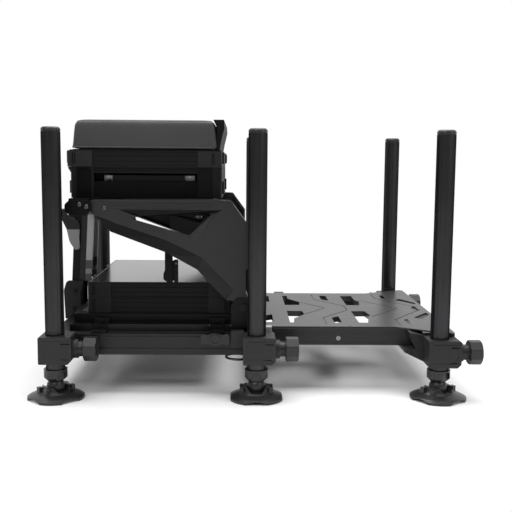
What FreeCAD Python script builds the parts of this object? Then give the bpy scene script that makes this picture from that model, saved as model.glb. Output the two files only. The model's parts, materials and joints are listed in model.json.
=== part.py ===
import FreeCAD, Part
import math
import os

# Fishing seat box: six telescopic legs, a base frame with a sliding footplate, a low drawer and
# tray, and a raised seat with its own trays, carried by two side arms and a rear column.
# Row frame in mm: +X towards the footplate, +Y to the seated angler's left, +Z up.
# The origin is on the floor, midway between the two middle legs.

os.makedirs("parts", exist_ok=True)
Vec = FreeCAD.Vector

# Fits and gaps
running_gap = 0.06
ball_gap = 0.3
seat_gap = 0.3
pivot_gap = 0.4

# Leg grid
leg_diameter = 36.0
leg_wall = 2.0
leg_top = 516.0
seat_bay = 385.0
foot_bay = 353.0
track = 538.0
leg_flutes = 10
flute_radius = 1.6
ring_line = 131.0

# Leg end fittings
cap_height = 9.0
cap_spigot = 25.0
collar_top = 58.0
collar_base = 37.0
collar_diameter = 44.5
ball_diameter = 35.0
ball_height = 24.0

# Feet
foot_radius = 54.0
foot_flat = 49.7
foot_rim_height = 5.0
foot_cup_radius = 25.5
foot_cup_top = 25.5
foot_recess_radius = 38.0
foot_recess_depth = 3.0
foot_arch_width = 40.0
foot_arch_height = 6.0
foot_fin_width = 9.0
foot_turn = {"rear": 45.0, "middle": 0.0, "front": 35.0}

# Leg clamps
clamp_back = 26.0
clamp_nose = 36.0
clamp_outside = 30.0
clamp_bottom = 72.0
clamp_height = 52.0
clamp_chamfer = 7.0
clamp_lug_inside = 60.0
clamp_lug_height = 38.0
front_clamp_drop = 5.0
boss_diameter = 36.0
boss_length = 8.5
casting_wall = 5.0
middle_lug_height = 28.0

# Clamp knobs
knob_width = 45.0
knob_length = 25.0
knob_neck = 10.7
knob_neck_diameter = 30.0
knob_stud_diameter = 10.0

# Base frame
rail_inset = 28.0
rail_width = 30.0
rail_bottom = 78.0
rail_height = 41.0
rail_wall = 3.0
rail_lip_width = 4.0
rail_lip_height = 14.0
rail_lip_tail = 19.0
cross_rail_width = 30.0
bracket_width = 30.0
front_cross_bottom = 72.0

# Footplate
foot_rail_bottom = 91.0
foot_rail_height = 33.5
foot_rail_width = 24.7
foot_rail_wall = 5.0
foot_rail_tail = 145.0
deck_thickness = 3.0
deck_rear = 2.0
deck_front_overhang = 33.0
deck_edge_inset = 66.0
deck_groove = 2.6
deck_groove_depth = 1.5
deck_collar_depth = 9.0
deck_collar_wall = 1.5
foot_rail_recess = 1.5

# Low trays
carrier_height = 21.0
carrier_inset = 78.0
carrier_rear = 20.0
carrier_lip = 3.0
skirt_depth = 18.0
skirt_length = 197.0
skirt_thickness = 11.0
low_tray_inset = 88.0
low_tray_rear = 46.0
low_tray_front = 48.0
low_case_height = 31.9
low_tray_height = 27.4
low_corner_block = 48.0
lid_thickness = 3.0
lid_edge = 3.8

# Seat frame
arm_inset = 50.0
arm_width = 30.0
arm_pivot_back = 26.0
arm_pivot_height = 169.0
arm_lug_radius = 16.0
arm_top = 378.0
arm_bevel = 7.0
arm_slope = 10.0
arm_web = 3.0
arm_skin = 5.0
arm_face_depth = 9.0
arm_back_rise = 3.5
pivot_pin_diameter = 12.0
cheek_thickness = 5.7
pivot_bracket_back = 24.0
cross_bar_bottom = 350.0
front_bar_bottom = 347.0
front_bar_back = 223.0
front_bar_width = 137.0
front_bar_bolt_back = 115.0
arm_cap_length = 14.0
arm_stop_width = 11.0

# Seat trays
tray_inset = 88.0
tray_rear = 10.0
tray_length = 305.5
tray_wall = 5.0
panel_recess = 2.0
rear_corner_block = 50.0
front_corner_block = 47.5
deep_tray_setback = 6.5
deep_tray_bottom = 381.0
deep_tray_height = 61.0
drawer_bay_height = 33.5
drawer_start = 53.0
drawer_length = 204.0
drawer_depth = 190.0
handle_start = 20.6
handle_height = 10.5
shallow_tray_height = 31.7
seat_board_thickness = 2.4
seat_board_setback = 10.0
hinge_barrel_radius = 2.5
hinge_pin_radius = 1.25
low_barrel_radius = 3.0

# Cushion
cushion_height = 60.0
cushion_rear_gap = 9.0
cushion_front_gap = 15.5
cushion_side_gap = 2.0

# Rear column
column_width = 68.0
column_depth = 16.0
column_lean = 0.056
column_top = 347.0
strap_bottom = 192.0
strap_top = 345.0
strap_depth = 26.0
strap_width = 6.0

half_track = track / 2
low_tray_half_width = half_track - low_tray_inset
tray_half_width = half_track - tray_inset
cushion_half_width = tray_half_width - cushion_side_gap
leg_radius = leg_diameter / 2
rear_x = -seat_bay
mid_x = 0.0
front_x = foot_bay
clamp_top = clamp_bottom + clamp_height
rail_top = rail_bottom + rail_height
foot_rail_top = foot_rail_bottom + foot_rail_height
deck_top = foot_rail_top + deck_thickness
knob_height = clamp_bottom + clamp_height / 2 - 1.4
arm_pivot_x = mid_x - arm_pivot_back
carrier_bracket_x = (rear_x + 62, mid_x - 92)
foot_rail_inset = clamp_lug_inside + seat_gap
carrier_bottom = deck_top + 0.5
carrier_top = carrier_bottom + carrier_height
low_case_top = carrier_top + low_case_height
low_tray_bottom = low_case_top + seat_gap
low_tray_top = low_tray_bottom + low_tray_height
lid_top = low_tray_top + seat_gap + lid_thickness
deep_tray_top = deep_tray_bottom + deep_tray_height
shallow_tray_bottom = deep_tray_top + seat_gap
shallow_tray_top = shallow_tray_bottom + shallow_tray_height
seat_board_bottom = shallow_tray_top + seat_gap
seat_board_top = seat_board_bottom + seat_board_thickness
tray_x0 = rear_x + tray_rear
tray_x1 = tray_x0 + tray_length
deep_x0 = tray_x0 + deep_tray_setback
cushion_x0 = tray_x0 + cushion_rear_gap
cushion_x1 = tray_x1 - cushion_front_gap
column_x = rear_x - 11.3
column_foot = rail_top
pivot_bracket_inset = arm_inset - seat_gap - cheek_thickness
right, left = -1, 1

# Clips on the shallow tray
clip_axis_z = shallow_tray_bottom + 9.0
clip_width = 36.0
clip_pin = 1.0
clip_eye = 2.0
clip_outer = 150.0


# Basic shapes
def box(x0, x1, y0, y1, z0, z1):
    return Part.makeBox(x1 - x0, y1 - y0, z1 - z0, Vec(x0, y0, z0))


def rod(centre, axis, radius, length):
    return Part.makeCylinder(radius, length, Vec(*centre), Vec(*axis))


def cone(centre, axis, radius_0, radius_1, length):
    return Part.makeCone(radius_0, radius_1, length, Vec(*centre), Vec(*axis))


def corner_arc(before, corner, after, radius):
    """Tangent points and middle of the arc that rounds one corner of a flat outline."""
    a = FreeCAD.Vector(before[0] - corner[0], before[1] - corner[1], 0).normalize()
    b = FreeCAD.Vector(after[0] - corner[0], after[1] - corner[1], 0).normalize()
    half = a.getAngle(b) / 2
    reach = radius / math.tan(half)
    middle = (a + b).normalize()
    centre = middle * (radius / math.sin(half))
    points = (a * reach, centre - middle * radius, b * reach)
    return [(corner[0] + p.x, corner[1] + p.y) for p in points]


def outline(points, radius, place):
    """Closed wire through flat points, each corner rounded by radius or by its own third value."""
    edges = []
    ends = []
    count = len(points)
    for i, point in enumerate(points):
        r = point[2] if len(point) > 2 else radius
        if r > 0:
            ends.append(corner_arc(points[i - 1], point, points[(i + 1) % count], r))
        else:
            ends.append([(point[0], point[1])])
    for i, arc in enumerate(ends):
        if len(arc) == 3:
            edges.append(Part.Arc(place(*arc[0]), place(*arc[1]), place(*arc[2])).toShape())
        start = place(*arc[-1])
        end = place(*ends[(i + 1) % count][0])
        if start.distanceToPoint(end) > 1e-6:
            edges.append(Part.LineSegment(start, end).toShape())
    return Part.Wire(edges)


def plate_y(points, y0, y1, radius=0.0):
    """Outline in X and Z, from y0 to y1."""
    wire = outline(points, radius, lambda u, v: Vec(u, y0, v))
    return Part.Face(wire).extrude(Vec(0, y1 - y0, 0))


def plate_x(points, x0, x1, radius=0.0):
    """Outline in Y and Z, from x0 to x1."""
    wire = outline(points, radius, lambda u, v: Vec(x0, u, v))
    return Part.Face(wire).extrude(Vec(x1 - x0, 0, 0))


def plate_z(points, z0, z1, radius=0.0):
    """Outline in X and Y, from z0 to z1."""
    wire = outline(points, radius, lambda u, v: Vec(u, v, z0))
    return Part.Face(wire).extrude(Vec(0, 0, z1 - z0))


def rectangle(u0, u1, v0, v1):
    return [(u0, v0), (u1, v0), (u1, v1), (u0, v1)]


def fused(shapes):
    whole = shapes[0].multiFuse(shapes[1:]) if len(shapes) > 1 else shapes[0]
    return whole.removeSplitter()


def mirrored(shape):
    return shape.mirror(Vec(0, 0, 0), Vec(0, 1, 0))


def pair(shape):
    """A right-hand shape and its mirror image on the left."""
    return Part.makeCompound([shape, mirrored(shape)])


def inset(distance):
    """Y of a right-hand feature at a distance inboard of the right leg row."""
    return -half_track + distance


def shrunk(points, distance):
    """The flat outline moved inwards by distance, for corners listed anticlockwise."""
    moved = []
    count = len(points)
    for i in range(count):
        ax, ay = points[i - 1][:2]
        bx, by = points[i][:2]
        cx, cy = points[(i + 1) % count][:2]
        d0 = Vec(bx - ax, by - ay, 0).normalize()
        d1 = Vec(cx - bx, cy - by, 0).normalize()
        n0 = Vec(-d0.y, d0.x, 0)
        n1 = Vec(-d1.y, d1.x, 0)
        step = (n0 + n1) * (distance / (1 + n0.dot(n1)))
        moved.append((bx + step.x, by + step.y))
    return moved


def anticlockwise(points):
    """The flat outline with its corners listed anticlockwise."""
    area = 0.0
    for (ax, ay), (bx, by) in zip(points, points[1:] + points[:1]):
        area += ax * by - bx * ay
    return points if area > 0 else points[::-1]


def flared(near, deep, y0, y1):
    """Flat-sided solid from one outline in X and Z at y0 to another at y1."""
    a = [Vec(x, y0, z) for x, z in near]
    b = [Vec(x, y1, z) for x, z in deep]
    rings = [a[::-1], b]
    for i in range(len(a)):
        j = (i + 1) % len(a)
        rings.append([a[i], a[j], b[j]])
        rings.append([a[i], b[j], b[i]])
    faces = [Part.Face(Part.makePolygon(ring + [ring[0]])) for ring in rings]
    solid = Part.makeSolid(Part.makeShell(faces))
    if solid.Volume < 0:
        solid.reverse()
    return solid


def save(name, shape):
    shape.exportStep("parts/" + name + ".step")
    print(name, len(shape.Solids), "solids", "valid" if shape.isValid() else "NOT VALID")


# Legs
def leg_tube(x, y):
    """Fluted tube from the foot collar to the end cap."""
    length = leg_top - cap_height - collar_top
    shape = rod((x, y, collar_top), (0, 0, 1), leg_radius, length)
    shape = shape.cut(rod((x, y, collar_top), (0, 0, 1), leg_radius - leg_wall, length))
    reach = leg_radius + flute_radius - 0.5
    flutes = []
    for i in range(leg_flutes):
        angle = 2 * math.pi * (i + 0.5) / leg_flutes
        place = (x + reach * math.cos(angle), y + reach * math.sin(angle), collar_top)
        flutes.append(rod(place, (0, 0, 1), flute_radius, length))
    mark = rod((x, y, ring_line), (0, 0, 1), leg_diameter, 1.0)
    mark = mark.cut(rod((x, y, ring_line), (0, 0, 1), leg_radius - 0.3, 1.0))
    return shape.cut(flutes + [mark])


def leg_cap(x, y):
    """Domed cap with a spigot in the top of the tube."""
    base = leg_top - cap_height
    rim = 5.5
    groove_depth = 0.8
    body = rod((x, y, base), (0, 0, 1), leg_radius, cap_height)
    body = body.makeFillet(rim, [e for e in body.Edges if e.BoundBox.ZMin > leg_top - 1])
    groove = rod((x, y, base), (0, 0, 1), leg_radius + 1, 1.2)
    body = body.cut(groove.cut(rod((x, y, base), (0, 0, 1), leg_radius - groove_depth, 1.2)))
    spigot_radius = leg_radius - leg_wall
    spigot = rod((x, y, base - cap_spigot), (0, 0, 1), spigot_radius, cap_spigot)
    return fused([body, spigot])


def foot_collar(x, y):
    """Collar with two arched windows, its spigot in the tube, and the ball of the foot joint."""
    radius = collar_diameter / 2
    taper = 5.0
    window_radius = 10.0
    window_depth = 7.0
    window_height = 46.0
    rib_radius = 1.2
    body = fused([
        cone((x, y, collar_base), (0, 0, 1), radius - taper, radius, taper),
        rod((x, y, collar_base + taper), (0, 0, 1), radius, collar_top - collar_base - taper),
        rod((x, y, collar_top), (0, 0, 1), leg_radius - leg_wall, cap_spigot),
        Part.makeSphere(ball_diameter / 2, Vec(x, y, ball_height)),
    ])
    tools = []
    for side in (-1, 1):
        face = y + side * radius
        window = rod((x, face - window_depth, window_height), (0, 1, 0), window_radius,
                     2 * window_depth)
        slot = box(x - window_radius, x + window_radius, face - window_depth, face + window_depth,
                   collar_base - 1, window_height)
        tools += [window, slot]
        for angle in (-40, -20, 0, 20, 40):
            turn = math.radians(angle + (90 - 90 * side))
            rx = x + (radius + 0.4) * math.cos(turn)
            ry = y + (radius + 0.4) * math.sin(turn)
            tools.append(rod((rx, ry, collar_base + taper + 2), (0, 0, 1), rib_radius, 10))
    return body.cut(tools)


def foot(x, y, turn):
    """Swivel foot: a disc with four arched flats, and a notched cup that holds the ball."""
    profile = [
        (0, foot_recess_depth),
        (foot_recess_radius, foot_recess_depth),
        (foot_recess_radius, 0),
        (foot_radius - 1, 0),
        (foot_radius, 1.5),
        (foot_radius, foot_rim_height),
        (foot_radius - 7, foot_rim_height + 3.5),
        (foot_cup_radius + 8, 13),
        (foot_cup_radius + 2, 17),
        (foot_cup_radius, foot_cup_top),
        (0, foot_cup_top),
    ]
    wire = outline(profile, 0, lambda u, v: Vec(u, 0, v))
    shape = Part.Face(wire).revolve(Vec(0, 0, 0), Vec(0, 0, 1), 360)
    fins = []
    fin_bottom = 7.0
    for side in (-1, 1):
        for offset in (-12, 12):
            a, b = sorted((side * (foot_cup_radius - 1), side * (foot_cup_radius + 6.5)))
            half = foot_fin_width / 2
            fins.append(box(a, b, offset - half, offset + half, fin_bottom, foot_cup_top - 1.5))
    shape = fused([shape] + fins)
    tools = [Part.makeSphere(ball_diameter / 2 + ball_gap, Vec(0, 0, ball_height))]
    notch = [(-10.7, 15.5), (10.7, 15.5), (18.6, foot_cup_top + 0.5), (-18.6, foot_cup_top + 0.5)]
    tools.append(plate_y(notch, -foot_cup_radius - 8, foot_cup_radius + 8))
    half = foot_arch_width / 2
    arch_radius = (half ** 2 + foot_arch_height ** 2) / (2 * foot_arch_height)
    for quarter in range(4):
        angle = 90.0 * quarter
        trim = box(foot_flat, foot_radius + 1, -30, 30, -1, 40)
        arch = rod((foot_recess_radius - 2, 0, foot_arch_height - arch_radius), (1, 0, 0),
                   arch_radius, 30)
        for tool in (trim, arch):
            tool.rotate(Vec(0, 0, 0), Vec(0, 0, 1), angle)
            tools.append(tool)
    shape = shape.cut(tools)
    shape.rotate(Vec(0, 0, 0), Vec(0, 0, 1), turn)
    shape.translate(Vec(x, y, 0))
    return shape


# Clamps and their knobs
def clamp_body(x, drop, lug_height):
    """Right-hand clamp casting on the leg at x: block, inboard lug, knob boss and leg bore."""
    y = -half_track
    z0 = clamp_bottom - drop
    z1 = clamp_top - drop
    x0 = x - clamp_back
    x1 = x + clamp_nose
    centre_z = knob_height - drop
    block = plate_y([(x0, z0, 2), (x1 - clamp_chamfer, z0, 3), (x1, z0 + clamp_chamfer, 3),
                     (x1, z1, 4), (x0, z1, 2)], y - clamp_outside, y + rail_inset)
    lug = box(x0, x1, y + rail_inset - 4, y + clamp_lug_inside, z0 + 4, z0 + 4 + lug_height)
    boss = rod((x1 - 2, y, centre_z), (1, 0, 0), boss_diameter / 2, boss_length + 2)
    shape = fused([block, lug, boss])
    lip = 3.0
    groove = 1.2
    face = y - clamp_outside
    bore = rod((x, y, z0 - 1), (0, 0, 1), leg_radius + running_gap, clamp_height + 2)
    stud = rod((x, y, centre_z), (1, 0, 0), knob_stud_diameter / 2 + running_gap, 60)
    slit = box(x + leg_radius - 2, x1 - 3, face - 1, y, centre_z + 14, centre_z + 16)
    low_slit = box(x + leg_radius - 2, x1 - 6, face - 1, face + 4, centre_z - 16, centre_z - 14.5)
    under_lip = box(x0 + 8, x1 + 1, face - 1, face + groove, z1 - lip - 5, z1 - lip - 3)
    panel = plate_y([(x0 + 6, z0 + 8), (x1 - 16, z0 + 8), (x1 - 6, z0 + 20), (x1 - 6, z1 - 14),
                     (x0 + 6, z1 - 14)], face - 1, face + 0.8, 4)
    core = box(x0 + casting_wall, x1 - casting_wall, y + rail_inset + casting_wall,
               y + clamp_lug_inside - casting_wall, z0 + 3, z0 + 4 + lug_height - casting_wall)
    return shape.cut([bore, stud, slit, low_slit, under_lip, panel, core])


def middle_clamp():
    """Seat clamp on the middle leg, with the square end block beside the footplate lock."""
    x0 = mid_x - clamp_back
    y = -half_track
    end_block = box(x0 - 23, x0 + 1, y + 8, y + rail_inset - seat_gap, 96, 128)
    return fused([clamp_body(mid_x, 0, middle_lug_height), end_block])


def front_clamp():
    """Footplate clamp: set lower, with a triangular wing under the end of the footplate rail."""
    x0 = front_x - clamp_back
    y = -half_track
    z0 = clamp_bottom - front_clamp_drop
    shape = clamp_body(front_x, front_clamp_drop, foot_rail_top - z0 - 4)
    bar_lug = box(x0, front_x + clamp_nose, y + clamp_lug_inside - 1,
                  inset(foot_rail_inset + foot_rail_width), z0 + 4, foot_rail_top)
    wing = plate_y([(x0 - 36, foot_rail_bottom - 6), (x0 - 36, foot_rail_bottom),
                    (x0 + 1, foot_rail_bottom), (x0 + 1, z0)],
                   y + 24, inset(foot_rail_inset + foot_rail_width))
    brace = plate_y([(x0 - 26, foot_rail_top - 0.2), (x0 - 26, foot_rail_top - 7),
                     (x0 - 14, foot_rail_bottom), (x0 + 1, foot_rail_bottom),
                     (x0 + 1, foot_rail_top - 6)], y + 24, y + foot_rail_inset - 0.3)
    core = box(x0 + casting_wall, front_x + clamp_nose - casting_wall, y + clamp_lug_inside,
               inset(foot_rail_inset + foot_rail_width) - casting_wall, z0 + 3,
               foot_rail_top - casting_wall)
    return fused([shape, bar_lug, wing, brace]).cut(core)


def clamp_knob(x, y, drop):
    """Eight-sided clamp knob with its grooved neck and the stud that presses on the leg."""
    z = knob_height - drop
    start = x + clamp_nose + boss_length + seat_gap
    neck_end = start + knob_neck
    half = knob_width / 2
    side = half * math.tan(math.pi / 8)
    corners = [(-side, -half), (side, -half), (half, -side), (half, side),
               (side, half), (-side, half), (-half, side), (-half, -side)]
    bevel = 3.0
    head = plate_x([(y + a, z + b) for a, b in corners], neck_end, neck_end + knob_length, 3)
    rim = cone((neck_end + knob_length - bevel, y, z), (1, 0, 0), half + 3.2, half - 1, bevel)
    back = cone((neck_end, y, z), (1, 0, 0), half - 1, half + 3.2, bevel)
    body = rod((neck_end + bevel, y, z), (1, 0, 0), half + 3.2, knob_length - 2 * bevel)
    head = head.common(fused([back, body, rim]))
    neck = rod((start, y, z), (1, 0, 0), knob_neck_diameter / 2, knob_neck + 1)
    stud_start = x + leg_radius + seat_gap
    stud = rod((stud_start, y, z), (1, 0, 0), knob_stud_diameter / 2, start - stud_start + 1)
    shape = fused([head, neck, stud])
    rings = []
    for i in range(3):
        at = start + 2 + 3 * i
        outer = rod((at, y, z), (1, 0, 0), knob_neck_diameter, 1.5)
        rings.append(outer.cut(rod((at, y, z), (1, 0, 0), knob_neck_diameter / 2 - 1, 1.5)))
    dimple = rod((neck_end + knob_length - 2, y, z), (1, 0, 0), half - 9, 3)
    return shape.cut(rings + [dimple])


# Base frame
def side_rail():
    """Hollow rail with an upright lip along its inner edge, between rear and middle clamp."""
    x0 = rear_x + clamp_nose
    x1 = mid_x - clamp_back
    y0 = inset(rail_inset)
    y1 = y0 + rail_width
    rail = box(x0, x1, y0, y1, rail_bottom, rail_top)
    core = box(x0, x1, y0 + rail_wall, y1 - rail_wall, rail_bottom + rail_wall,
               rail_top - rail_wall)
    groove = box(x0, x1, y0 - 1, y0 + 1.2, rail_bottom + 12, rail_bottom + 14)
    lip = box(x0, x1, y0 - 1, y0 + 1.2, rail_top - 5, rail_top - 3.5)
    hole = rod((lock_x, y0 - 1, lock_z), (0, 1, 0), lock_shaft / 2 + running_gap, rail_width + 2)
    lip_x1 = x1 - pivot_bracket_back - seat_gap
    top_lip = box(x0 - rail_lip_tail, lip_x1, y1 - rail_lip_width, y1, rail_top,
                  rail_top + rail_lip_height)
    gaps = []
    for x in carrier_bracket_x:
        gaps.append(box(x - seat_gap, x + bracket_width + seat_gap, y0, y1 + 1, rail_top,
                        rail_top + rail_lip_height + 1))
    return rail.fuse(top_lip.cut(gaps)).removeSplitter().cut([core, groove, lip, hole])


def slide_runner():
    """Ledge on the inner face of the side rail that carries the tail of the footplate rail."""
    x0 = rear_x + 60
    x1 = mid_x - clamp_back
    y0 = inset(rail_inset + rail_width)
    y1 = inset(foot_rail_inset + foot_rail_width)
    return box(x0, x1, y0, y1, rail_bottom + 4, foot_rail_bottom - seat_gap)


def rear_cross_rail():
    half = half_track - clamp_lug_inside
    x0 = rear_x - cross_rail_width / 2
    x1 = rear_x + cross_rail_width / 2
    rail = box(x0, x1, -half, half, rail_bottom, rail_top)
    core = box(x0 + rail_wall, x1 - rail_wall, -half, half, rail_bottom + rail_wall,
               rail_top - rail_wall)
    return rail.cut(core)


def front_cross_rail():
    """Low rail between the middle clamps, under the footplate rails."""
    half = half_track - clamp_lug_inside
    x0 = mid_x - cross_rail_width / 2
    x1 = mid_x + cross_rail_width / 2
    top = foot_rail_bottom - seat_gap
    rail = box(x0, x1, -half, half, front_cross_bottom, top)
    core = box(x0 + rail_wall, x1 - rail_wall, -half, half, front_cross_bottom + rail_wall,
               top - rail_wall)
    plug = box(x0 + 1, x1 - 1, ring_y - 9, ring_y + 9, front_cross_bottom + 1, top - 1)
    bush = rod((ring_stem_x, ring_y, front_cross_bottom - 1), (0, 0, 1),
               ring_stem_radius + running_gap, 30)
    return fused([rail.cut(core), plug]).cut(bush)


def slide_guide():
    """Bright guide block on the middle clamp lug, beside the footplate rail."""
    lug_top = clamp_bottom + 4 + middle_lug_height
    return box(mid_x + 16.5, mid_x + 31, inset(40), inset(clamp_lug_inside), lug_top, deck_top + 3.5)


def tray_carrier():
    """Open frame under the low trays, with a lip along its lower edge."""
    x0 = rear_x + carrier_rear
    x1 = arm_pivot_x - pivot_bracket_back - 0.5
    y1 = half_track - carrier_inset
    lip = carrier_lip
    wall = 10.0
    body = box(x0, x1, -y1 + lip, y1 - lip, carrier_bottom, carrier_top)
    flange = box(x0 - lip, x1, -y1, y1, carrier_bottom, carrier_bottom + lip)
    skirt_y = inset(foot_rail_inset + foot_rail_width + 0.5)
    skirt = box(x0 + wall, x0 + wall + skirt_length, skirt_y, skirt_y + skirt_thickness,
                carrier_bottom - skirt_depth, carrier_bottom + lip)
    shape = fused([body, flange, skirt, mirrored(skirt)])
    middle = (x0 + x1) / 2
    tools = []
    for a, b in ((x0 + wall, middle - wall), (middle + wall, x1 - wall)):
        tools.append(plate_z(rectangle(a, b, -y1 + 28, y1 - 28), carrier_bottom - 1,
                             carrier_top + 1, 12))
    return shape.cut(tools)


def carrier_brackets():
    """Four angle brackets that stand on the side rails and hold the carrier's edge."""
    solids = []
    edge = inset(carrier_inset)
    for x in carrier_bracket_x:
        riser = inset(rail_inset + rail_width)
        foot_plate = box(x, x + bracket_width, inset(rail_inset + 4), riser, rail_top, rail_top + 4)
        step = box(x, x + bracket_width, riser - 4, riser, rail_top, carrier_bottom + 3.5)
        arm = box(x, x + bracket_width, riser - 4, edge, carrier_bottom, carrier_bottom + 3.5)
        web = box(x, x + bracket_width, edge - 4, edge, carrier_bottom, carrier_bottom + 14)
        solids.append(fused([foot_plate, step, arm, web]))
    return solids


def pivot_bracket():
    """Right-hand fork on the front of the base frame that holds the arm's pivot pin."""
    x0 = arm_pivot_x - pivot_bracket_back
    x1 = mid_x
    y0 = inset(pivot_bracket_inset)
    y1 = inset(arm_inset + arm_width + seat_gap + cheek_thickness)
    post_inner = inset(rail_inset + rail_width)
    shelf_top = arm_pivot_height - arm_lug_radius - 2
    post = box(x0, mid_x - clamp_back - seat_gap, y0, post_inner, rail_top, deck_top + 1)
    shelf = box(x0, x1, y0, y1, deck_top + 1, shelf_top)
    cheeks = []
    for a in (y0, y1 - cheek_thickness):
        points = [(x0, shelf_top - 1), (x1, shelf_top - 1), (x1, arm_pivot_height + 4, 6),
                  (arm_pivot_x + 12, arm_pivot_height + 18, 8),
                  (arm_pivot_x - 12, arm_pivot_height + 18, 8), (x0, arm_pivot_height + 4, 6)]
        cheeks.append(plate_y(points, a, a + cheek_thickness))
    bore = rod((arm_pivot_x, y0 - 1, arm_pivot_height), (0, 1, 0), pivot_pin_diameter / 2,
               y1 - y0 + 2)
    return fused([post, shelf] + cheeks).cut(bore)


def column_socket():
    """Two cheeks on the rear cross rail that hold the foot of the rear column."""
    top = column_foot + 74.0
    half = column_width / 2
    rail_back = rear_x - cross_rail_width / 2 - seat_gap
    points = [(rear_x - 30, column_foot - 11, 2), (rail_back, column_foot - 6),
              (rail_back, column_foot), (rear_x + 15, column_foot), (rear_x + 13, column_foot + 6),
              (rear_x + 4, column_foot + 20, 6), (rear_x + 4, top - 25, 12), (rear_x + 9, top),
              (rear_x - 26, top, 8), (rear_x - 32.5, top - 21, 6)]
    solids = []
    for y0 in (-half - 6, half):
        solids.append(plate_y(points, y0, y0 + 6))
    return solids


def rear_column():
    """Leaning flat column on the rear cross rail, with the head that the seat bar rests on."""
    half = column_width / 2
    shift = column_lean * (column_top - column_foot)
    d = column_depth / 2
    x = column_x
    shaft = plate_y([(x - d, column_foot), (x + d, column_foot), (x + d + shift, column_top),
                     (x - d + shift, column_top)], -half, half)
    head_x = x + shift
    pad_top = cross_bar_bottom - seat_gap
    head = plate_y([(head_x - 9, column_top - 26), (head_x + 9, column_top - 26),
                    (bar_x1, column_top - 4), (bar_x1, pad_top), (head_x - 9, pad_top)],
                   -half, half, 0)
    window = plate_y([(x + 8, 214), (x + 30, 214), (x + 30, 300), (x + 8, 300)], -18, 18, 0)
    channel = box(x - 40, x + 40, -half + 8, -half + 11, 200, 310)
    channel = channel.common(plate_y([(x + d + 3.2, 190), (x + d + 30, 190), (x + d + 30, 320),
                                      (x + d + 10, 320)], -half, half))
    bore = rod((lever_x, -half - 1, lever_z), (0, 1, 0), lever_pin / 2 + running_gap,
               column_width + 2)
    return fused([shaft, head]).cut([window, channel, mirrored(channel), bore])


def column_strap():
    """Right-hand flat strip along the front of the column."""
    ends = []
    for z in (strap_bottom, strap_top):
        ends.append(column_x + column_depth / 2 + column_lean * (z - column_foot))
    points = [(ends[0], strap_bottom), (ends[0] + strap_depth, strap_bottom),
              (ends[1] + strap_depth, strap_top), (ends[1], strap_top)]
    y0 = -column_width / 2
    return plate_y(points, y0, y0 + strap_width)


# Footplate
def foot_rail():
    """Channel with a lip at its top and bottom; it slides beside the middle clamp."""
    x0 = mid_x - foot_rail_tail
    x1 = front_x - clamp_back
    y0 = inset(foot_rail_inset)
    y1 = y0 + foot_rail_width
    z0, z1 = foot_rail_bottom, foot_rail_top
    body = box(x0, x1, y0, y1, z0, z1)
    inner = box(x0, x1, y0 + foot_rail_wall, y1 + 1, z0 + 4, z1 - 4)
    outer = box(x0, x1, y0 - 1, y0 + foot_rail_recess, z0 + 4, z1 - 8)
    return body.cut([inner, outer])


def foot_cross_bar(x, width):
    half = half_track - foot_rail_inset - foot_rail_width
    z0 = foot_rail_bottom + 3
    bar = box(x - width / 2, x + width / 2, -half, half, z0, foot_rail_top)
    core = box(x - width / 2 + 3, x + width / 2 - 3, -half, half, z0 + 3, foot_rail_top - 3)
    return bar.cut(core)


# Half of the deck's openings, as X and distance from the centre line
deck_openings = [
    [(22, 88), (37, 76), (37, 158), (22, 160)],
    [(71, 36), (105, 38), (107, 76), (82, 120), (82, 163), (71, 163)],
    [(162, 112), (178, 95), (178, 162), (162, 168)],
    [(213, 38), (243, 36), (249, 86), (241, 104), (241, 164), (213, 162)],
    [(311, 133), (321, 121), (321, 174), (311, 174)],
    [(338, 106), (378, 48), (378, 74), (352, 126)],
]
collared_openings = 4
deck_chevrons = [
    [(108, 74), (158, 2)],
    [(144, 112), (206, 26), (206, 2)],
    [(251, 98), (322, 2)],
    [(294, 130), (372, 14)],
    [(144, 112), (144, 180)],
    [(294, 130), (294, 186)],
]


def strip(a, b, width, z0, z1):
    """A straight bar of a given width from a to b, seen from above."""
    along = Vec(b[0] - a[0], b[1] - a[1], 0).normalize()
    side = Vec(-along.y, along.x, 0) * (width / 2)
    points = [(a[0] - side.x, a[1] - side.y), (b[0] - side.x, b[1] - side.y),
              (b[0] + side.x, b[1] + side.y), (a[0] + side.x, a[1] + side.y)]
    return plate_z(points, z0, z1)


def footplate_deck():
    """Slotted deck, flared round the front legs, with chevron grooves."""
    edge = half_track - deck_edge_inset
    front = front_x + deck_front_overhang
    half = [(deck_rear, edge, 4), (front_x - 70, edge, 20), (front_x - 12, edge + 38, 12),
            (front - 6, edge + 56, 4), (front, edge + 46, 6)]
    points = half + [(p[0], -p[1], p[2]) for p in reversed(half)]
    deck = plate_z(points, foot_rail_top, deck_top)
    tools = []
    collars = []
    low = foot_rail_top - deck_collar_depth
    for i, points in enumerate(deck_openings):
        for side in (-1, 1):
            corners = anticlockwise([(x, side * y) for x, y in points])
            tools.append(plate_z(corners, low - 1, deck_top + 1, 2.5))
            if i < collared_openings:
                collars.append(plate_z(shrunk(corners, -deck_collar_wall), low, foot_rail_top + 1, 4))
    deck = fused([deck] + collars)
    centre = [(355, 0), (362, 26), (368, 26), (368, -26), (362, -26)]
    tools.append(plate_z(centre, foot_rail_top - 1, deck_top + 1, 2))
    for line in deck_chevrons:
        for a, b in zip(line, line[1:]):
            for side in (-1, 1):
                tools.append(strip((a[0], side * a[1]), (b[0], side * b[1]), deck_groove,
                                   deck_top - deck_groove_depth, deck_top + 1))
    return deck.cut(tools)


# Footplate locks and pull ring
lock_x = arm_pivot_x - 54
lock_z = 112.0
lock_shaft = 8.0


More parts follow.
